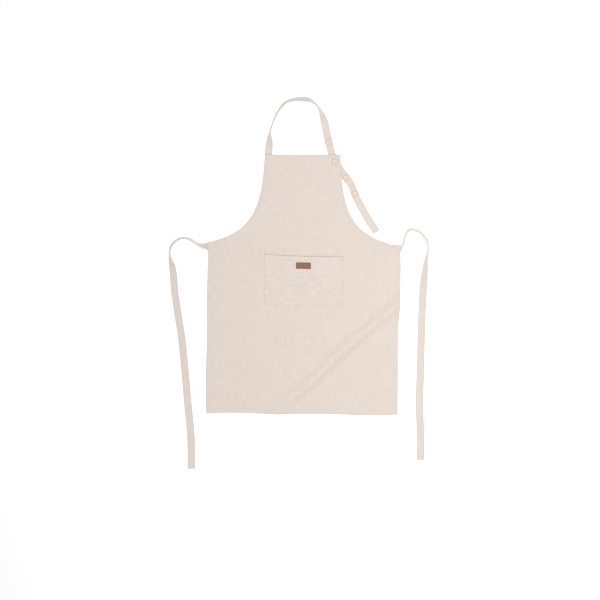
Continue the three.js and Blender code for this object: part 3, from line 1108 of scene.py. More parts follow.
class Palette:
    """All materials of the apron, built once."""

    def __init__(self) -> None:
        """Builds the shared effects and every material."""
        effects = Effects(WeaveLook())
        linen = LinenFinish(
            name="linen_cloth",
            light=(0.735, 0.648, 0.592, 1),
            dark=(0.6, 0.52, 0.472, 1),
            # Colour of the painted shade along seams and edges.
            seam=(0.42, 0.355, 0.315, 1),
        )
        self.linen = linen.make(effects)
        self.pocket = replace(linen, name="linen_pocket", slub=1.0, lean=0.35).make(effects)
        self.tape = LinenFinish(
            name="linen_tape",
            light=(0.722, 0.648, 0.599, 1),
            dark=(0.6, 0.531, 0.487, 1),
            # Colour of the painted shade along the tape's seams and edges, and of the panel's painted
            # shadow.
            seam=(0.46, 0.415, 0.38, 1),
            slub=0.7,
            sheen=1.0,
        ).make(effects)
        self.thread = ThreadFinish(
            name="linen_thread", light=(0.74, 0.66, 0.605, 1), dark=(0.6, 0.52, 0.472, 1)
        ).make(effects)
        self.leather = LeatherFinish(
            name="brown_leather",
            light=(0.285, 0.13, 0.07, 1),
            dark=(0.19, 0.083, 0.044, 1),
            edge=(0.1, 0.042, 0.024, 1),
        ).make(effects)
        self.dark_thread = ThreadFinish(
            name="brown_thread", light=(0.2, 0.105, 0.065, 1), dark=(0.09, 0.045, 0.03, 1)
        ).make(effects)
        self.wood = WoodFinish(
            name="pale_wood",
            light=(0.785, 0.625, 0.5, 1),
            dark=(0.665, 0.498, 0.367, 1),
            # Colour of the painted shadow on the rim and the painted shade around the holes.
            edge=(0.34, 0.2, 0.13, 1),
        ).make(effects)


def dress(piece: Piece, material: bpy.types.Material, node: str = "") -> Piece:
    """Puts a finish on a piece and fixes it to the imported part.

    Args:
        piece: The piece.
        material: Its finish.
        node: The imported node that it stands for, if any.

    Returns:
        The piece.
    """
    piece.data.materials.append(material)
    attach(piece, "root")
    if node:
        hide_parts(node)
    LOG.info("%s: %d faces", piece.name, len(piece.data.polygons))
    return piece


@dataclass(frozen=True)
class SoftLine:
    """A soft line beside an edge: a groove, a darker line of painted shade, or the leather's darker edge and
    pressed line.

    Attributes:
        strength: Depth or darkness along its middle.
        middle: Distance of its middle from the edge.
        reach: How far it fades out to either side.
    """

    strength: float
    middle: float
    reach: float

    def at(self, distance: Array) -> Array:
        """Depth or darkness at distances from the edge."""
        return self.strength * bell(distance, self.middle, self.reach)


@dataclass(frozen=True)
class TapeCut:
    """Sizes of the folded and edge-stitched linen tape of the strap and ties.

    The lip is the share of the thickness that the upper face keeps at the very edge. The end hem is how far
    the last row of stitches lies from the free end, and its margin the room beside the rows along the edges.
    The panel's shadow is painted where the tape comes out from under the panel.
    """

    width: float = 25.4
    thick: float = 1.8
    edge: float = 0.9
    lip: float = 0.55
    seam: float = 2.6
    station: float = 2.0
    end_hem: float = 11.0
    end_margin: float = 1.0
    sway: float = 0.2
    groove: SoftLine = SoftLine(0.15, seam, 0.7)
    # Painted shade along the seams and edges, and the panel's painted shadow.
    seam_shade: SoftLine = SoftLine(0.2, seam, 0.8)
    edge_shade: SoftLine = SoftLine(0.7, 0.0, 1.1)
    panel_shadow: SoftLine = SoftLine(0.45, 2.0, 2.6)


class Strap:
    """A length of tape that lies on the table along a route, partly turned up on its edge."""

    # Distances from an edge that get a row of points, before and after the row at the seam.
    OUTER_ROWS = (0.0, 0.25, 0.6, 1.2, 1.9, 2.3)
    INNER_ROWS = (2.9, 3.4, 4.4, 7.5)
    # Shortest and longest of the small waves.
    WAVES = (45.0, 140.0)
    # Shift on the cloth's map for each step of the seed, so that no two tapes look alike.
    MAP_STEP = 17.0
    # Height below which a point of the under face rests on the table.
    RESTING = 0.01
    # Distance from the panel's edge that counts for what lies under the panel, clear of the painted shadow.
    COVERED = -9.0
    # Points of the row of stitches across the free end.
    END_POINTS = 9

    def __init__(self, name: str, route: Sequence, side: Side, tape: TapeCut, seed: int) -> None:
        """Works out the strap's stations.

        Args:
            name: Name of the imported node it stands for.
            route: Rows of x, y and roll of the resting edge.
            side: Where the strap's body lies from that edge.
            tape: Sizes of the tape.
            seed: Start of the random draws for its small waves.
        """
        self.name, self.tape, self.seed = name, tape, seed
        path = smooth_path(route, tape.station)
        self.edge = path[:, :2]
        self.roll = np.radians(np.maximum(path[:, 2], 0.0))
        heading = np.gradient(self.edge, axis=0)
        self.heading = heading / np.linalg.norm(heading, axis=1)[:, None]
        self.across = left_of(heading) * side.value
        self.run = run_along(self.edge)
        self.length = float(self.run[-1])
        self.sway = Ripples(seed, *self.WAVES, tape.sway).heights(self.run[:, None])

    def on(self, across: float, height: Array | float) -> Array:
        """Places at every station, at a distance across the tape and a height through it.

        Args:
            across: Distance from the resting edge.
            height: Height above the under face.

        Returns:
            Points, one for each station.
        """
        cos, sin = np.cos(self.roll)[:, None], np.sin(self.roll)[:, None]
        up = np.array([[0.0, 0.0, 1.0]])
        level = np.hstack([self.across, np.zeros((len(self.across), 1))])
        base = np.hstack([self.edge, np.zeros((len(self.edge), 1))]) + self.tape.thick * sin * level
        through = np.broadcast_to(np.asarray(height, float), self.run.shape)[:, None]
        return base + across * (cos * level + sin * up) + through * (cos * up - sin * level)

    def at(self, distance: float) -> tuple[Array, Array]:
        """Middle of the flat tape and its heading, at a distance along the strap.

        Args:
            distance: Run along the resting edge. It may lie before the start.

        Returns:
            The place and the heading in the plane.
        """
        pick = int(np.clip(np.searchsorted(self.run, distance), 0, len(self.run) - 1))
        heading, across = self.heading[pick], self.across[pick]
        place = self.edge[pick] + heading * (distance - self.run[pick])
        return place + across * self.tape.width / 2.0, heading

    def line(self, distances: Sequence[float]) -> Array:
        """Middle of the flat tape at several distances."""
        return np.array([self.at(distance)[0] for distance in distances])

    def _section(self) -> tuple[Array, Array, Array]:
        """Section of the tape: rounded edges and a shallow groove along each row of stitches.

        Returns:
            Distances across, and heights of the upper and under faces there.
        """
        tape = self.tape
        half = np.array([*self.OUTER_ROWS, tape.seam, *self.INNER_ROWS, tape.width / 2])
        across = np.concatenate([half, tape.width - half[-2::-1]])
        depth = np.minimum(across, tape.width - across)
        round_off = rounding(depth, tape.edge)
        top = tape.thick * (tape.lip + (1.0 - tape.lip) * round_off) - tape.groove.at(depth)
        under = tape.thick * (1.0 - tape.lip) * (1.0 - round_off)
        return across, top, under

    def _tape(self, cover: Array) -> Piece:
        """Builds the tape.

        Args:
            cover: Outline of the panel that it runs out from under.

        Returns:
            The tape.
        """
        tape = self.tape
        across, top, under = self._section()
        upper = [self.on(s, h + self.sway) for s, h in zip(across, top)]
        lower = [self.on(s, h + self.sway * (h > self.RESTING)) for s, h in zip(across, under)]
        rings = np.stack(lower + upper[::-1], axis=1)
        around = np.concatenate([across, across[::-1]])
        run = self.run[:, None] + self.MAP_STEP * self.seed
        cloth = np.stack(np.broadcast_arrays(around[None, :], run), axis=-1)
        depth = np.minimum(around, tape.width - around)
        # Painted shade along the seams and edges, and the panel's painted shadow where the tape comes out.
        mask = tape.seam_shade.at(depth) + tape.edge_shade.at(depth)
        places = rings[..., :2].reshape(-1, 2)
        beyond = np.where(inside(places, cover), self.COVERED, nearest_on(places, closed(cover))[0])
        shade_and_edge = np.clip(mask + tape.panel_shadow.at(beyond).reshape(rings.shape[:2]), 0.0, 1.0)
        return make_sweep(f"{self.name}_tape", rings, cloth, shade_and_edge)

    def _sew(self) -> StitchBook:
        """Sews a row along each edge and one across the free end.

        Returns:
            The book of stitches.
        """
        tape, book = self.tape, StitchBook(Thread())
        for seam in (tape.seam, tape.width - tape.seam):
            book.run(self.on(seam, tape.thick - tape.groove.strength + self.sway))
        last = int(np.searchsorted(self.run, self.length - tape.end_hem))
        margin = tape.seam + tape.end_margin
        reach = np.linspace(margin, tape.width - margin, self.END_POINTS)
        book.run(np.array([self.on(s, tape.thick)[last] for s in reach]))
        return book

    def build(self, palette: Palette, table: Piece, cover: Array) -> list[Piece]:
        """Builds the tape and its stitches.

        Args:
            palette: The materials.
            table: Not used.
            cover: Outline of the panel that it runs out from under.

        Returns:
            The pieces.
        """
        piece = dress(self._tape(cover), palette.tape, self.name)
        stitches = dress(self._sew().make(f"{self.name}_stitches"), palette.thread)
        return [piece, stitches]


@dataclass(frozen=True)
class StrapRise:
    """The panel's lift over a strap that runs behind it.

    Attributes:
        line: Middle of the strap, behind the panel.
        height: Lift over the strap.
        flat: Half width of the lifted band.
        slope: Width of the slope beside it.
        sewn: Whether the strap ends behind the panel, at the line's start.
    """

    line: Array
    height: float = 2.1
    flat: float = 13.2
    slope: float = 9.0
    sewn: bool = True

    def heights(self, points: Array) -> Array:
        """Lift at each point of the panel.

        Args:
            points: Places in the plane.

        Returns:
            The lift.
        """
        distance, along, _ = nearest_on(points, self.line)
        share = 1.0 - smoothstep(self.flat, self.flat + self.slope, distance)
        if self.sewn:
            share = share * smoothstep(0.0, self.slope, along)
        return self.height * share


@dataclass(frozen=True)
class FoldRise:
    """The soft fold across the skirt, a rounded ridge that runs out at the hem.

    Attributes:
        crest: Rows of x, y and height along the ridge.
        upper_side: Width of the slope above the crest.
        lower_side: Width of the steeper slope below it.
        wander: Waves in those widths: strength, length and start of each.
        step: Distance between points of the ridge.
    """

    crest: Sequence = FOLD_CREST
    upper_side: float = 36.0
    lower_side: float = 32.0
    wander: Sequence = ((0.07, 37.0, 0.0), (0.05, 17.0, 1.0))
    step: float = 6.0

    def heights(self, points: Array) -> Array:
        """Lift at each point of the panel.

        Args:
            points: Places in the plane.

        Returns:
            The lift.
        """
        path = smooth_path(self.crest, self.step)
        ridge = path[:, :2]
        distance, along, hand = nearest_on(points, ridge)
        width = np.ones(len(points))
        for strength, length, start in self.wander:
            width += strength * np.sin(along / length + start)
        reach = np.where(hand > 0, self.lower_side, self.upper_side) * width
        share = (1.0 + np.cos(math.pi * np.clip(distance / reach, 0.0, 1.0))) / 2.0
        return np.interp(along, run_along(ridge), path[:, 2]) * share


class LaidPiece:
    """A flat piece that lies on what is below it, known by its outline and the heights of its faces."""

    # Distance between the points of a seam's path, and how far seams and close stitches lie off the face.
    SEAM_STEP, SEAM_LIFT, CLOSE_LIFT = 1.6, 0.05, 0.1

    outline: Array

    def heights(self, points: Array) -> tuple[Array, Array]:
        """Heights of the upper and under faces, which each piece works out for itself."""
        raise NotImplementedError

    def on(self, points: Array, above: float = 0.0) -> Array:
        """Places on the upper face, or a little above it."""
        top, _ = self.heights(points)
        return np.column_stack([points, top + above])

    def shell(self, name: str, cut: FlatMesh, cloth: Array, shade_and_edge: Array) -> Piece:
        """Makes the piece from its meshed cut, the places on its material and its mask."""
        top, under = (np.column_stack([cut[0], height]) for height in self.heights(cut[0]))
        return make_shell(name, cut, top, under, cloth, np.clip(shade_and_edge, 0.0, 1.0))

    def flat_size(self) -> tuple[float, float]:
        """Width and height of the cut, in metres."""
        size = np.ptp(self.outline, axis=0) * MM
        return float(size[0]), float(size[1])

    def flat_area(self) -> float:
        """Area of the cut, in square metres."""
        x, y = self.outline.T
        return float(abs(np.dot(x, np.roll(y, -1)) - np.dot(y, np.roll(x, -1))) / 2.0) * MM * MM


@dataclass(frozen=True)
class PanelCut:
    """Sizes of the panel: its corners as they lie, its cloth and its hems.

    The hem's slope, the seam, its slack, groove and shade and the puckers go by shares of the hem's width.
    Lips are shares of the thickness at the very edge. Cloth that a strap lifts past calm has no ripples.
    """

    hem_left: Point = (-326.3, -563.0)
    hem_right: Point = (319.5, -567.0)
    waist_left: Point = (-321.5, 16.5)
    waist_right: Point = (328.2, -11.5)
    bib_left: Point = (-129.5, 312.0)
    bib_right: Point = (126.8, 311.3)
    foot_right: Point = (297.0, 9.2)
    cloth: float = 1.2
    hem_cloth: float = 1.8
    skirt_hem: float = 16.0
    arm_hem: float = 11.5
    top_hem: float = 13.5
    hem_slope: tuple[float, float] = (0.9, 1.25)
    seam: float = 0.88
    seam_slack: float = 0.03
    groove: SoftLine = SoftLine(0.12, seam, 0.07)
    pucker: float = 0.5
    edge: float = 1.1
    lip: float = 0.55
    under_lip: float = 0.35
    calm: float = 0.3
    hole_length: float = 22.0
    hole_width: float = 4.4
    # Painted shade: a line along the hem's seam, one inside the rolled edge, and one at the cut edge.
    seam_shade: SoftLine = SoftLine(0.1, seam, 0.07)
    roll_shade: SoftLine = SoftLine(0.12, 3.2, 2.2)
    edge_shade: SoftLine = SoftLine(0.4, 0.0, 0.8)


class ApronPanel(LaidPiece):
    """Bib and skirt in one piece of linen, hemmed all round."""

    RINGS = (0.3, 0.8, 1.6, 3.5, 6.5, 8.6, 9.5, 10.2, 11.0, 11.9, 12.7, 13.5, 14.3, 15.2, 16.4, 18.5, 22.0)
    GRID = 4.6
    # Distance between the points of the outline, and of the curves that it is taken from.
    SPACING, CURVE_STEP = 4.0, 2.0
    # Places that the edges pass through between their corners, and handles that bend the armholes.
    HEM_MARKS = ((-249, -560), (-88, -565), (57, -564), (210, -568.5))
    RIGHT_MARKS = ((320.5, -460), (321.6, -285), (324.8, -232), (327.5, -199), (329.6, -120), (330, -55))
    TOP_MARKS = ((92, 312), (0, 310.4), (-92, 312))
    LEFT_MARKS = ((-321.8, -45), (-324.5, -170), (-325.4, -340), (-328.6, -440), (-328.4, -530))
    RIGHT_FOOT = ((312, 0),)
    RIGHT_ARM = ((151.5, 49.5), (131, 139))
    LEFT_ARM = ((-137.6, 109), (-186, 46.5))
    # What each next edge adds to the run along the edges, so that their puckers differ.
    EDGE_STEP = 2000.0
    # Worked edge of the buttonhole: distance of its middle from the cut, and length of its stitches.
    WORKED, WORKED_REACH = 1.0, 2.0
    # Box of stitches over a strap's end: its start beyond the slope, its length and its half width.
    BOX_START, BOX_LENGTH, BOX_REACH = 2.5, 7.0, 9.5

    def __init__(self, cut: PanelCut, fold: FoldRise, rises: Sequence[StrapRise], button: tuple) -> None:
        """Keeps what shapes the panel and draws its outline.

        Args:
            cut: Sizes of the panel.
            fold: The fold in the skirt.
            rises: Lifts over the straps behind the panel.
            button: Place and heading of the fastened button.
        """
        self.cut, self.fold, self.rises, self.button = cut, fold, rises, button
        self.edges = self._edges()
        self.outline = np.vstack([edge[:-1] for edge, _ in self.edges])
        self.ripples = Ripples(seed=11, shortest=55.0, longest=260.0, height=1.2)
        self.puckers = Ripples(seed=23, shortest=9.0, longest=34.0, height=0.22)

    def _edges(self) -> list[tuple[Array, float]]:
        """Edges of the panel, anticlockwise from the hem's left corner.

        Returns:
            Each edge's points, close together, and the width of its hem.
        """
        c, step = self.cut, self.CURVE_STEP
        edges = (
            (smooth_path((c.hem_left, *self.HEM_MARKS, c.hem_right), step), c.skirt_hem),
            (smooth_path((c.hem_right, *self.RIGHT_MARKS, c.waist_right), step), c.skirt_hem),
            (bezier(c.waist_right, *self.RIGHT_FOOT, c.foot_right), c.arm_hem),
            (bezier(c.foot_right, *self.RIGHT_ARM, c.bib_right), c.arm_hem),
            (smooth_path((c.bib_right, *self.TOP_MARKS, c.bib_left), step), c.top_hem),
            (bezier(c.bib_left, *self.LEFT_ARM, c.waist_left), c.arm_hem),
            (smooth_path((c.waist_left, *self.LEFT_MARKS, c.hem_left), step), c.skirt_hem),
        )
        return [(resample(edge, self.SPACING), width) for edge, width in edges]

    def _slot(self, grow: float = 0.0) -> Array:
        """Outline of the buttonhole.

        Args:
            grow: Distance outside the cut.

        Returns:
            Anticlockwise points.
        """
        place, heading = self.button
        radius = self.cut.hole_width / 2.0
        reach = self.cut.hole_length / 2.0 - radius
        angles = np.linspace(-math.pi / 2.0, math.pi / 2.0, 7)
        arc = np.stack([reach + (radius + grow) * np.cos(angles), (radius + grow) * np.sin(angles)], axis=1)
        loop = np.vstack([arc, -arc])
        aside = np.array([-heading[1], heading[0]])
        return place + loop[:, :1] * heading + loop[:, 1:] * aside

    def depths(self, points: Array) -> tuple[Array, Array, Array]:
        """Finds how each point lies from the panel's edge.

        Args:
            points: Places in the plane.

        Returns:
            Distance from the edge, that distance as a share of the hem's width, and run along the edge.
        """
        depth, share, run = np.full((3, len(points)), np.inf)
        for number, (edge, width) in enumerate(self.edges):
            distance, along, _ = nearest_on(points, edge)
            nearer = distance / width < share
            share = np.where(nearer, distance / width, share)
            run = np.where(nearer, number * self.EDGE_STEP + along, run)
            depth = np.minimum(depth, distance)
        return depth, share, run

    def heights(self, points: Array) -> tuple[Array, Array]:
        """Heights of the panel's upper and under faces.

        Args:
            points: Places in the plane.

        Returns:
            Heights of the upper face and of the under face.
        """
        cut = self.cut
        depth, share, run = self.depths(points)
        over = np.max([rise.heights(points) for rise in self.rises], axis=0)
        calm = 1.0 - smoothstep(0.0, cut.calm, over)
        lift = np.maximum(over, self.fold.heights(points)) + self.ripples.heights(points) * calm
        round_off = rounding(depth, cut.edge)
        body = cut.hem_cloth + (cut.cloth - cut.hem_cloth) * smoothstep(*cut.hem_slope, share)
        gather = self.puckers.heights(run[:, None]) * bell(share, cut.seam, cut.pucker) * calm
        top = lift + body * (cut.lip + (1.0 - cut.lip) * round_off) + gather - cut.groove.at(share)
        under = lift + body * cut.under_lip * (1.0 - round_off)
        return top, under

    def _seam(self, edge: Array, width: float) -> Array:
        """Line of the hem's stitches beside one edge, as far as the seams of its neighbours.

        Args:
            edge: Points of the edge.
            width: Width of its hem.

        Returns:
            Points of the line.
        """
        line = edge + left_of(np.gradient(edge, axis=0)) * self.cut.seam * width
        _, share, _ = self.depths(line)
        return line[share > self.cut.seam - self.cut.seam_slack]

    def _box(self, rise: StrapRise) -> Array:
        """Line of the stitches that hold a strap's end behind the panel.

        Args:
            rise: The lift over that strap.

        Returns:
            Corners of the box, the first one repeated.
        """
        start, ahead = rise.line[0], rise.line[1] - rise.line[0]
        ahead = ahead / np.linalg.norm(ahead)
        aside = np.array([-ahead[1], ahead[0]])
        near, reach = rise.slope + self.BOX_START, self.BOX_REACH
        far = near + self.BOX_LENGTH
        corners = np.array([[near, -reach], [far, -reach], [far, reach], [near, reach], [near, -reach]])
        return start + corners[:, :1] * ahead + corners[:, 1:] * aside

    def _sew(self) -> StitchBook:
        """Sews the hem, the strap ends and the buttonhole.

        Returns:
            The book of stitches.
        """
        book = StitchBook(Thread())
        for edge, width in self.edges:
            book.run(self.on(resample(self._seam(edge, width), self.SEAM_STEP), self.SEAM_LIFT))
        for rise in self.rises:
            if rise.sewn:
                book.run(self.on(resample(self._box(rise), self.SEAM_STEP), self.CLOSE_LIFT))
        rim = self._slot(grow=self.WORKED)
        book.bar(self.on(closed(rim), self.CLOSE_LIFT), self.WORKED_REACH)
        return book

    def build(self, palette: Palette, table: Piece) -> list[Piece]:
        """Builds the panel and its stitches.

        Args:
            palette: The materials.
            table: Not used.

        Returns:
            The pieces.
        """
        mesh = FlatCut(self.outline, self.RINGS, self.GRID, (self._slot(),)).mesh()
        depth, share, _ = self.depths(mesh[0])
        cut = self.cut
        # Painted shade along the hem's seam, inside the rolled edge and at the cut edge.
        shade_and_edge = cut.seam_shade.at(share) + cut.roll_shade.at(depth) + cut.edge_shade.at(depth)
        piece = self.shell("apron_panel_cloth", mesh, mesh[0], shade_and_edge)
        dress(piece, palette.linen, "apron_panel")
        stitches = dress(self._sew().make("apron_panel_stitches"), palette.thread)
        self.flat_size()
        self.flat_area()
        return [piece, stitches]


@dataclass(frozen=True)
class PocketCut:
    """Sizes of the patch pocket.

    The lift of its mouth falls off sideways and downwards by the two powers. Bulks and lips are shares of
    the thickness. Turned layers end in a slope of one step to either side, and the mouth's seam lies one
    step inside its hem. The painted shadow along the mouth is wider at the left end.
    """

    gape: float = 6.2
    side_power: int = 4
    up_power: float = 1.4
    cloth: float = 1.2
    mouth_hem: float = 18.0
    hem_bulk: float = 0.5
    turn_in: float = 10.0
    turn_bulk: float = 0.25
    step: float = 2.0
    seam: float = 2.6
    groove: SoftLine = SoftLine(0.1, 0.0, 0.8)
    clear: float = 0.15
    edge: float = 0.6
    lip: float = 0.8
    under_lip: float = 0.15
    # Painted shade along the seams, and a painted shadow along the mouth.
    seam_shade: SoftLine = SoftLine(0.08, 0.0, 0.9)
    mouth_shade: SoftLine = SoftLine(0.8, 0.0, 1.0)
    wide_end: float = 1.2
    wide_reach: float = 32.0


class Pocket(LaidPiece):
    """Patch pocket on the panel's front, with its mouth a little open."""

    RINGS = (0.3, 0.8, 1.6, 2.2, 2.8, 3.4, 5.5, 8.8, 10.2, 11.6)
    GRID = 4.0
    # Distance between the points of the outline, and of the mouth's curve.
    SPACING, CURVE_STEP = 3.0, 2.0
    # Shift of the pocket's cut on the cloth's map.
    MAP_SHIFT = 400.0
    # Distance below the mouth where the side seams start.
    SEAM_TOP = 6.0
    # Bar tacks: start and end below the mouth, place outside the seam, path's spacing and stitch length.
    TACK_LOW, TACK_HIGH, TACK_OUT, TACK_STEP, TACK_REACH = 9.0, 1.2, 0.6, 0.8, 2.6

    def __init__(self, cut: PocketCut, panel: ApronPanel) -> None:
        """Keeps the sizes and draws the outline.

        Args:
            cut: Sizes of the pocket.
            panel: The panel that it is sewn to.
        """
        self.cut, self.panel = cut, panel
        self.columns, self.bottoms, self.mouths = np.array(POCKET_EDGES, float).T
        self.outline = self._outline()

    def _outline(self) -> Array:
        """Edge of the pocket, anticlockwise from the lower left corner.

        Returns:
            Points close together.
        """
        bottom = np.stack([self.columns, self.bottoms], axis=1)
        mouth = smooth_path(np.stack([self.columns, self.mouths], axis=1)[::-1], self.CURVE_STEP)
        right, left = np.array([bottom[-1], mouth[0]]), np.array([mouth[-1], bottom[0]])
        return np.vstack([resample(edge, self.SPACING)[:-1] for edge in (bottom, right, mouth, left)])

    def margins(self, points: Array) -> tuple[Array, Array, Array]:
        """How each point lies from the pocket's edges.

        Args:
            points: Places in the plane.

        Returns:
            Distance from the sewn edges, distance below the mouth, and share of the way up.
        """
        x, y = points.T
        bottom, mouth = np.interp(x, self.columns, self.bottoms), np.interp(x, self.columns, self.mouths)
        sewn = np.minimum(np.minimum(x - self.columns[0], self.columns[-1] - x), y - bottom)
        return sewn, mouth - y, np.clip((y - bottom) / (mouth - bottom), 0.0, 1.0)

    def off_seam(self, points: Array) -> Array:
        """Distance of each point from the nearest row of stitches.

        Args:
            points: Places in the plane.

        Returns:
            The distances.
        """
        cut = self.cut
        sewn, below, _ = self.margins(points)
        return np.minimum(np.abs(sewn - cut.seam), np.abs(below - (cut.mouth_hem - cut.step)))

    def heights(self, points: Array) -> tuple[Array, Array]:
        """Heights of the pocket's upper and under faces.

        Args:
            points: Places in the plane.

        Returns:
            Heights of the upper face and of the under face.
        """
        cut = self.cut
        depth, _, _ = nearest_on(points, closed(self.outline))
        sewn, below, up = self.margins(points)
        ground, _ = self.panel.heights(points)
        left, right = self.columns[0], self.columns[-1]
        aside = (2.0 * points[:, 0] - left - right) / (right - left)
        lift = cut.gape * np.clip(1.0 - aside**cut.side_power, 0.0, 1.0) * up**cut.up_power
        round_off = rounding(depth, cut.edge)
        bulks = ((cut.hem_bulk, cut.mouth_hem, below), (cut.turn_bulk, cut.turn_in, sewn))
        layers = [
            bulk * (1.0 - smoothstep(width - cut.step, width + cut.step, margin))
            for bulk, width, margin in bulks
        ]
        body = cut.cloth * (1.0 + np.maximum(*layers))
        base = ground + cut.clear + lift
        top = base + body * (cut.lip + (1.0 - cut.lip) * round_off) - cut.groove.at(self.off_seam(points))
        return top, base + body * cut.under_lip * (1.0 - round_off)

    def _sew(self) -> StitchBook:
        """Sews the sides and bottom, the mouth's hem and a bar tack at each end of the mouth.

        Returns:
            The book of stitches.
        """
        cut, book = self.cut, StitchBook(Thread())
        left, right = self.columns[0] + cut.seam, self.columns[-1] - cut.seam
        inner = (self.columns > left) & (self.columns < right)
        bottom = np.stack([self.columns, self.bottoms + cut.seam], axis=1)[inner]
        ends = [(left, self.mouths[0] - self.SEAM_TOP), (left, self.bottoms[0] + cut.seam)]
        far_ends = [(right, self.bottoms[-1] + cut.seam), (right, self.mouths[-1] - self.SEAM_TOP)]
        around = np.vstack([ends, bottom, far_ends])
        level = np.stack([self.columns, self.mouths - cut.mouth_hem + cut.step], axis=1)[inner]
        for seam in (around, level):
            book.run(self.on(resample(seam, self.SEAM_STEP), self.SEAM_LIFT))
        for x, mouth in ((left - self.TACK_OUT, self.mouths[0]), (right + self.TACK_OUT, self.mouths[-1])):
            tack = np.array([(x, mouth - self.TACK_LOW), (x, mouth - self.TACK_HIGH)])
            book.bar(self.on(resample(tack, self.TACK_STEP), self.CLOSE_LIFT), self.TACK_REACH)
        return book

    def build(self, palette: Palette) -> list[Piece]:
        """Builds the pocket and its stitches.

        Args:
            palette: The materials.

        Returns:
            The pieces.
        """
        cut, mesh = self.cut, FlatCut(self.outline, self.RINGS, self.GRID).mesh()
        points = mesh[0]
        _, below, _ = self.margins(points)
        # Painted shade along the seams, and a painted shadow under the mouth's edge that is wider at the
        # left end.
        narrowed = smoothstep(0.0, cut.wide_reach, points[:, 0] - self.columns[0])
        streak = below / (1.0 + cut.wide_end * (1.0 - narrowed))
        shade_and_edge = cut.seam_shade.at(self.off_seam(points)) + cut.mouth_shade.at(streak)
        piece = self.shell("pocket_cloth", mesh, points[:, ::-1] + self.MAP_SHIFT, shade_and_edge)
        dress(piece, palette.pocket, "pocket")
        stitches = dress(self._sew().make("pocket_stitches"), palette.thread)
        self.flat_size()
        self.flat_area()
        return [piece, stitches]


@dataclass(frozen=True)
class LabelCut:
    """Sizes and place of the leather tab. The lip is the share of the thickness left at the very edge."""

    x: float = 1.4
    y: float = -63.2
    width: float = 49.8
    height: float = 21.2
    tilt: float = -1.1
    thick: float = 1.5
    corner: float = 0.9
    edge: float = 0.8
    lip: float = 0.6
    clear: float = 0.1
    seam: float = 2.0
    seam_corner: float = 0.6
    sink: float = 0.2
    groove: SoftLine = SoftLine(0.25, seam, 0.4)
    edge_shade: SoftLine = SoftLine(1.0, 0.0, 0.7)
    seam_shade: SoftLine = SoftLine(0.7, seam, 0.45)


class LeatherLabel(LaidPiece):
    """Bare leather tab sewn to the pocket."""

    RINGS = (0.15, 0.4, 0.8, 1.3, 1.7, 2.0, 2.3, 2.8)
    GRID = 1.6
    # Distance between the points of its outline.
    SPACING = 0.9
    THREAD = Thread(pitch=2.6, width=0.6, height=0.4)

    def __init__(self, cut: LabelCut, pocket: Pocket) -> None:
        """Keeps the sizes and draws the outline.

        Args:
            cut: Sizes and place of the tab.
            pocket: The pocket that it is sewn to.
        """
        self.cut, self.pocket = cut, pocket
        self.outline = self._loop(0.0, cut.corner)

    def _loop(self, inside_by: float, corner: float) -> Array:
        """Rounded rectangle on the pocket.

        Args:
            inside_by: Distance inside the tab's edge.
            corner: Radius of the corners.

        Returns:
            Anticlockwise points.
        """
        w, h = self.cut.width / 2.0 - inside_by - corner, self.cut.height / 2.0 - inside_by - corner
        arcs = []
        for quarter, (x, y) in enumerate(((w, h), (-w, h), (-w, -h), (w, -h))):
            angles = np.linspace(0.0, math.pi / 2.0, 6) + quarter * math.pi / 2.0
            arcs.append(np.stack([x + corner * np.cos(angles), y + corner * np.sin(angles)], axis=1))
        cos, sin = math.cos(math.radians(self.cut.tilt)), math.sin(math.radians(self.cut.tilt))
        loop = resample(closed(np.vstack(arcs)), self.SPACING)[:-1] @ np.array([[cos, sin], [-sin, cos]])
        return loop + (self.cut.x, self.cut.y)

    def heights(self, points: Array) -> tuple[Array, Array]:
        """Heights of the tab's upper and under faces.

        Args:
            points: Places in the plane.

        Returns:
            Heights of the upper face and of the under face.
        """
        cut = self.cut
        depth, _, _ = nearest_on(points, closed(self.outline))
        ground, _ = self.pocket.heights(points)
        under = ground + cut.clear
        swell = cut.lip + (1.0 - cut.lip) * rounding(depth, cut.edge)
        return under + cut.thick * swell - cut.groove.at(depth), under

    def build(self, palette: Palette) -> list[Piece]:
        """Builds the tab and its stitches.

        Args:
            palette: The materials.

        Returns:
            The pieces.
        """
        cut, mesh = self.cut, FlatCut(self.outline, self.RINGS, self.GRID).mesh()
        depth, _, _ = nearest_on(mesh[0], closed(self.outline))
        shade_and_edge = cut.edge_shade.at(depth) + cut.seam_shade.at(depth)
        piece = self.shell("leather_tab", mesh, mesh[0], shade_and_edge)
        dress(piece, palette.leather, "leather_label")
        book = StitchBook(self.THREAD)
        seam = closed(self._loop(cut.seam, cut.seam_corner))
        book.run(self.pocket.on(seam, cut.clear + cut.thick - cut.sink))
        stitches = dress(book.make("leather_tab_stitches"), palette.dark_thread)
        return [piece, stitches]


@dataclass(frozen=True)
class ButtonCut:
    """Sizes of a turned wooden button, the threads crossed in its holes and the shank wound below it."""

    radius: float = 10.0
    hole_radius: float = 1.0
    hole_circle: float = 3.0
    underside: float = 4.8
    bevel: SoftLine = SoftLine(0.25, hole_radius, 0.35)
    # Painted shade around the holes, and a painted shadow on the rim between the two radii.
    hole_shade: SoftLine = SoftLine(0.6, hole_radius, 0.3)
    rim: tuple[float, float] = (8.7, 9.8)
    rim_shade: float = 0.85
    bite: float = 0.35
    strands: tuple[float, ...] = (-0.42, 0.0, 0.42)
    cross: float = 2.65
    cross_step: float = 0.22
    shank_radius: float = 1.4
    shank_foot: float = 1.8
    wind: float = 0.3
    wind_turn: float = 0.7
    wind_count: int = 8
    wind_length: float = 1.3


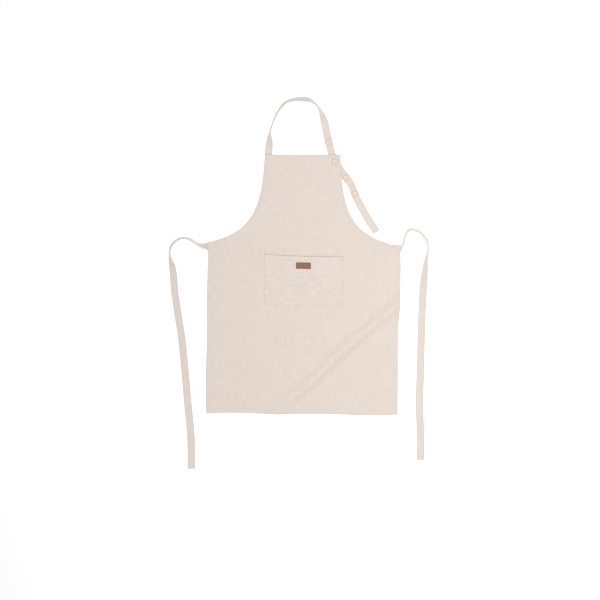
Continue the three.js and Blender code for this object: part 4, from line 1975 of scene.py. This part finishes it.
class WoodButton:
    """Four-hole button with a raised rim, sewn to the neck strap on a thread shank."""

    RINGS = (0.15, 0.4, 0.8, 1.2, 1.7, 2.2, 2.8, 3.4, 4.0)
    GRID = 0.8
    # Points around the disc and around a hole.
    DISC_POINTS, HOLE_POINTS = 56, 12
    # Turned profiles of the two faces: radius and height.
    FACE = (
        (0.0, 2.55), (6.2, 2.65), (7.0, 3.1), (7.8, 3.5), (8.6, 3.6), (9.3, 3.4), (9.8, 2.8), (10.0, 2.1),
    )
    BACK = ((0.0, 0.0), (8.2, 0.0), (9.2, 0.25), (9.8, 0.8), (10.0, 1.4))
    # Shift on the wood's map for each millimetre between buttons, so that no two look alike.
    MAP_STEP = 61.0
    THREAD = Thread(width=0.75, height=0.6)

    def __init__(self, node: str, spot: tuple[Array, Array], cut: ButtonCut, turn: float) -> None:
        """Keeps where the button sits.

        Args:
            node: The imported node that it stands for.
            spot: Place and heading on the strap.
            cut: Sizes of the button.
            turn: How far its grain is turned from the strap, in degrees.
        """
        self.node, self.cut = node, cut
        self.middle, heading = spot
        self.angle = math.atan2(heading[1], heading[0]) + math.radians(turn)
        self.hole_reach = cut.hole_circle / math.sqrt(2.0)

    def place(self, local: Array) -> Array:
        """Moves points from the button's frame to the apron's.

        Args:
            local: Points around the middle of the disc's underside.

        Returns:
            The moved points.
        """
        cos, sin = math.cos(self.angle), math.sin(self.angle)
        flat = local[:, :2] @ np.array([[cos, sin], [-sin, cos]]) + self.middle
        return np.column_stack([flat, local[:, 2] + self.cut.underside])

    @staticmethod
    def circle(middle: Point, radius: float, count: int) -> Array:
        """Anticlockwise points of a circle."""
        angles = np.arange(count) * (2.0 * math.pi / count)
        return np.stack([middle[0] + radius * np.cos(angles), middle[1] + radius * np.sin(angles)], axis=1)

    def _disc(self, palette: Palette) -> Piece:
        """Builds the turned disc.

        Args:
            palette: The materials.

        Returns:
            The disc.
        """
        cut, reach = self.cut, self.hole_reach
        spots = [(x, y) for x in (-reach, reach) for y in (-reach, reach)]
        holes = tuple(self.circle(spot, cut.hole_radius, self.HOLE_POINTS) for spot in spots)
        outline = self.circle((0.0, 0.0), cut.radius, self.DISC_POINTS)
        mesh = FlatCut(outline, self.RINGS, self.GRID, holes).mesh()
        local = mesh[0]
        radius = np.hypot(local[:, 0], local[:, 1])
        near = np.min([np.hypot(*(local - spot).T) for spot in spots], axis=0)
        face, back = (np.interp(radius, *zip(*table)) for table in (self.FACE, self.BACK))
        heights = (face - cut.bevel.at(near), back)
        faces = (self.place(np.column_stack([local, height])) for height in heights)
        # Painted shadow on the rim and painted shade around the holes.
        shade_and_edge = cut.rim_shade * smoothstep(*cut.rim, radius) + cut.hole_shade.at(near)
        grain = local + self.MAP_STEP * (1.0 + self.middle)
        piece = make_shell(f"{self.node}_disc", mesh, *faces, grain, np.clip(shade_and_edge, 0.0, 1.0))
        return dress(piece, palette.wood, self.node)

    def _cross(self, book: StitchBook) -> None:
        """Crosses the thread through the holes.

        Args:
            book: The book of stitches.
        """
        reach = self.hole_reach + self.cut.bite
        for layer, (x, y) in enumerate(((reach, reach), (reach, -reach))):
            high = self.cut.cross + self.cut.cross_step * layer
            for aside in self.cut.strands:
                shift = np.array([-y, x, 0.0]) / math.hypot(x, y) * aside
                start, end = self.place(np.array([(-x, -y, high), (x, y, high)]) + shift)
                book.lay((start + end) / 2.0, end - start)

    def _shank(self, book: StitchBook) -> None:
        """Winds the thread around itself under the disc.

        Args:
            book: The book of stitches.
        """
        cut = self.cut
        for number, level in enumerate(np.arange(cut.shank_foot, cut.underside + cut.wind, cut.wind)):
            for part in range(cut.wind_count):
                way = number * cut.wind_turn + part * 2.0 * math.pi / cut.wind_count
                out = np.array([math.cos(way), math.sin(way)])
                spot = self.middle + out * cut.shank_radius
                span = np.array([-out[1], out[0], 0.0]) * cut.wind_length
                book.lay(np.array([*spot, level]), span)

    def _thread(self, palette: Palette) -> Piece:
        """Builds the thread in the holes and under the disc.

        Args:
            palette: The materials.

        Returns:
            The thread.
        """
        book = StitchBook(self.THREAD)
        self._cross(book)
        self._shank(book)
        return dress(book.make(f"{self.node}_thread"), palette.thread)

    def build(self, palette: Palette) -> list[Piece]:
        """Builds the button and its thread."""
        return [self._disc(palette), self._thread(palette)]


@dataclass(frozen=True)
class ButtonRow:
    """Places of the buttons along the neck strap, back from its free end."""

    last: float = 148.0
    pitch: float = 64.9
    names: tuple[str, ...] = ("button_end", "button_third", "button_fastened", "button_upper")
    turns: tuple[float, ...] = (20.0, 75.0, -35.0, 50.0)
    fastened: int = 2

    def distance(self, strap: Strap, number: int) -> float:
        """Run along the strap to one button."""
        return strap.length - self.last - number * self.pitch


@dataclass(frozen=True)
class StudioSizes:
    """Camera, floor and lights, in metres and watts. The sensor is in millimetres."""

    middle: tuple[float, float] = (-0.01014, -0.17914)
    camera_height: float = 14.0
    view_width: float = 2.028
    sensor: float = 36.0
    view_end: float = 100.0
    floor: float = 30.0
    floor_level: float = -0.0004
    paper: float = 0.98
    key_place: tuple[float, float, float] = (0.33, -0.25, 4.6)
    key_aim: tuple[float, float, float] = (4.0, 0.4, 0.0)
    key_size: float = 2.6
    key_power: float = 276.0
    sky: float = 0.3


class Studio:
    """White floor, soft light from above and a camera that looks straight down."""

    CORNERS = ((-1, -1), (1, -1), (1, 1), (-1, 1))

    def __init__(self, sizes: StudioSizes) -> None:
        """Keeps the sizes."""
        self.sizes = sizes

    def floor(self) -> Piece:
        """Lays the floor.

        Returns:
            The floor.
        """
        half, level = self.sizes.floor / 2.0 / MM, self.sizes.floor_level / MM
        corners = np.array([(x * half, y * half, level) for x, y in self.CORNERS])
        floor = make_piece("table_top", corners, [(0, 1, 2, 3)], corners[:, :2], np.zeros(4))
        white = self.sizes.paper
        floor.data.materials.append(FloorFinish("white_paper", (white, white, white, 1)).make())
        return floor

    def light(self) -> None:
        """Sets the sky and hangs one large soft light."""
        sizes = self.sizes
        world = bpy.data.worlds.new("studio")
        world.use_nodes = True
        back = world.node_tree.nodes["Background"]
        back.inputs["Color"].default_value = (1.0, 1.0, 1.0, 1.0)
        back.inputs["Strength"].default_value = sizes.sky
        bpy.context.scene.world = world
        lamp = bpy.data.lights.new("softbox", "AREA")
        lamp.shape, lamp.size, lamp.energy = "SQUARE", sizes.key_size, sizes.key_power
        hung = bpy.data.objects.new("softbox", lamp)
        hung.location = sizes.key_place
        aim = Vector(sizes.key_aim) - hung.location
        hung.rotation_euler = aim.to_track_quat("-Z", "Y").to_euler()
        hung.visible_camera = False
        bpy.context.scene.collection.objects.link(hung)

    def camera(self) -> None:
        """Puts the camera over the apron and makes it the scene's."""
        sizes = self.sizes
        lens = bpy.data.cameras.new("camera_top")
        lens.sensor_width = sizes.sensor
        lens.lens = sizes.sensor * sizes.camera_height / sizes.view_width
        lens.clip_end = sizes.view_end
        camera = bpy.data.objects.new("camera_top", lens)
        camera.location = (*sizes.middle, sizes.camera_height)
        bpy.context.scene.collection.objects.link(camera)
        bpy.context.scene.camera = camera
        bpy.context.scene.view_settings.view_transform = "Standard"


def main() -> None:
    """Builds the apron piece by piece and the studio around it."""
    logging.basicConfig(level=logging.INFO, format="%(name)s %(message)s")
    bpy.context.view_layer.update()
    palette = Palette()
    studio = Studio(StudioSizes())
    table = studio.floor()
    tape = TapeCut()
    neck = Strap("neck_strap", NECK_ROUTE, Side.RIGHT, tape, seed=3)
    left = Strap("waist_tie_left", LEFT_TIE_ROUTE, Side.LEFT, tape, seed=5)
    right = Strap("waist_tie_right", RIGHT_TIE_ROUTE, Side.RIGHT, tape, seed=7)
    row = ButtonRow()
    fastened = row.distance(neck, row.fastened)
    rises = (
        StrapRise(neck.line(SEWN_END)),
        StrapRise(left.line(SEWN_END)),
        StrapRise(right.line(LONG_SEWN_END)),
        StrapRise(neck.line([fastened + step for step in BUTTONED_STRETCH]), sewn=False),
    )
    panel = ApronPanel(PanelCut(), FoldRise(), rises, neck.at(fastened))
    pocket = Pocket(PocketCut(), panel)
    pieces = panel.build(palette, table)
    pieces += pocket.build(palette)
    pieces += LeatherLabel(LabelCut(), pocket).build(palette)
    for strap in (neck, left, right):
        pieces += strap.build(palette, table, panel.outline)
    for number, node in enumerate(row.names):
        spot = neck.at(row.distance(neck, number))
        pieces += WoodButton(node, spot, ButtonCut(), row.turns[number]).build(palette)
    studio.light()
    studio.camera()
    LOG.info("%d pieces", len(pieces))


if __name__ == "__main__":
    main()
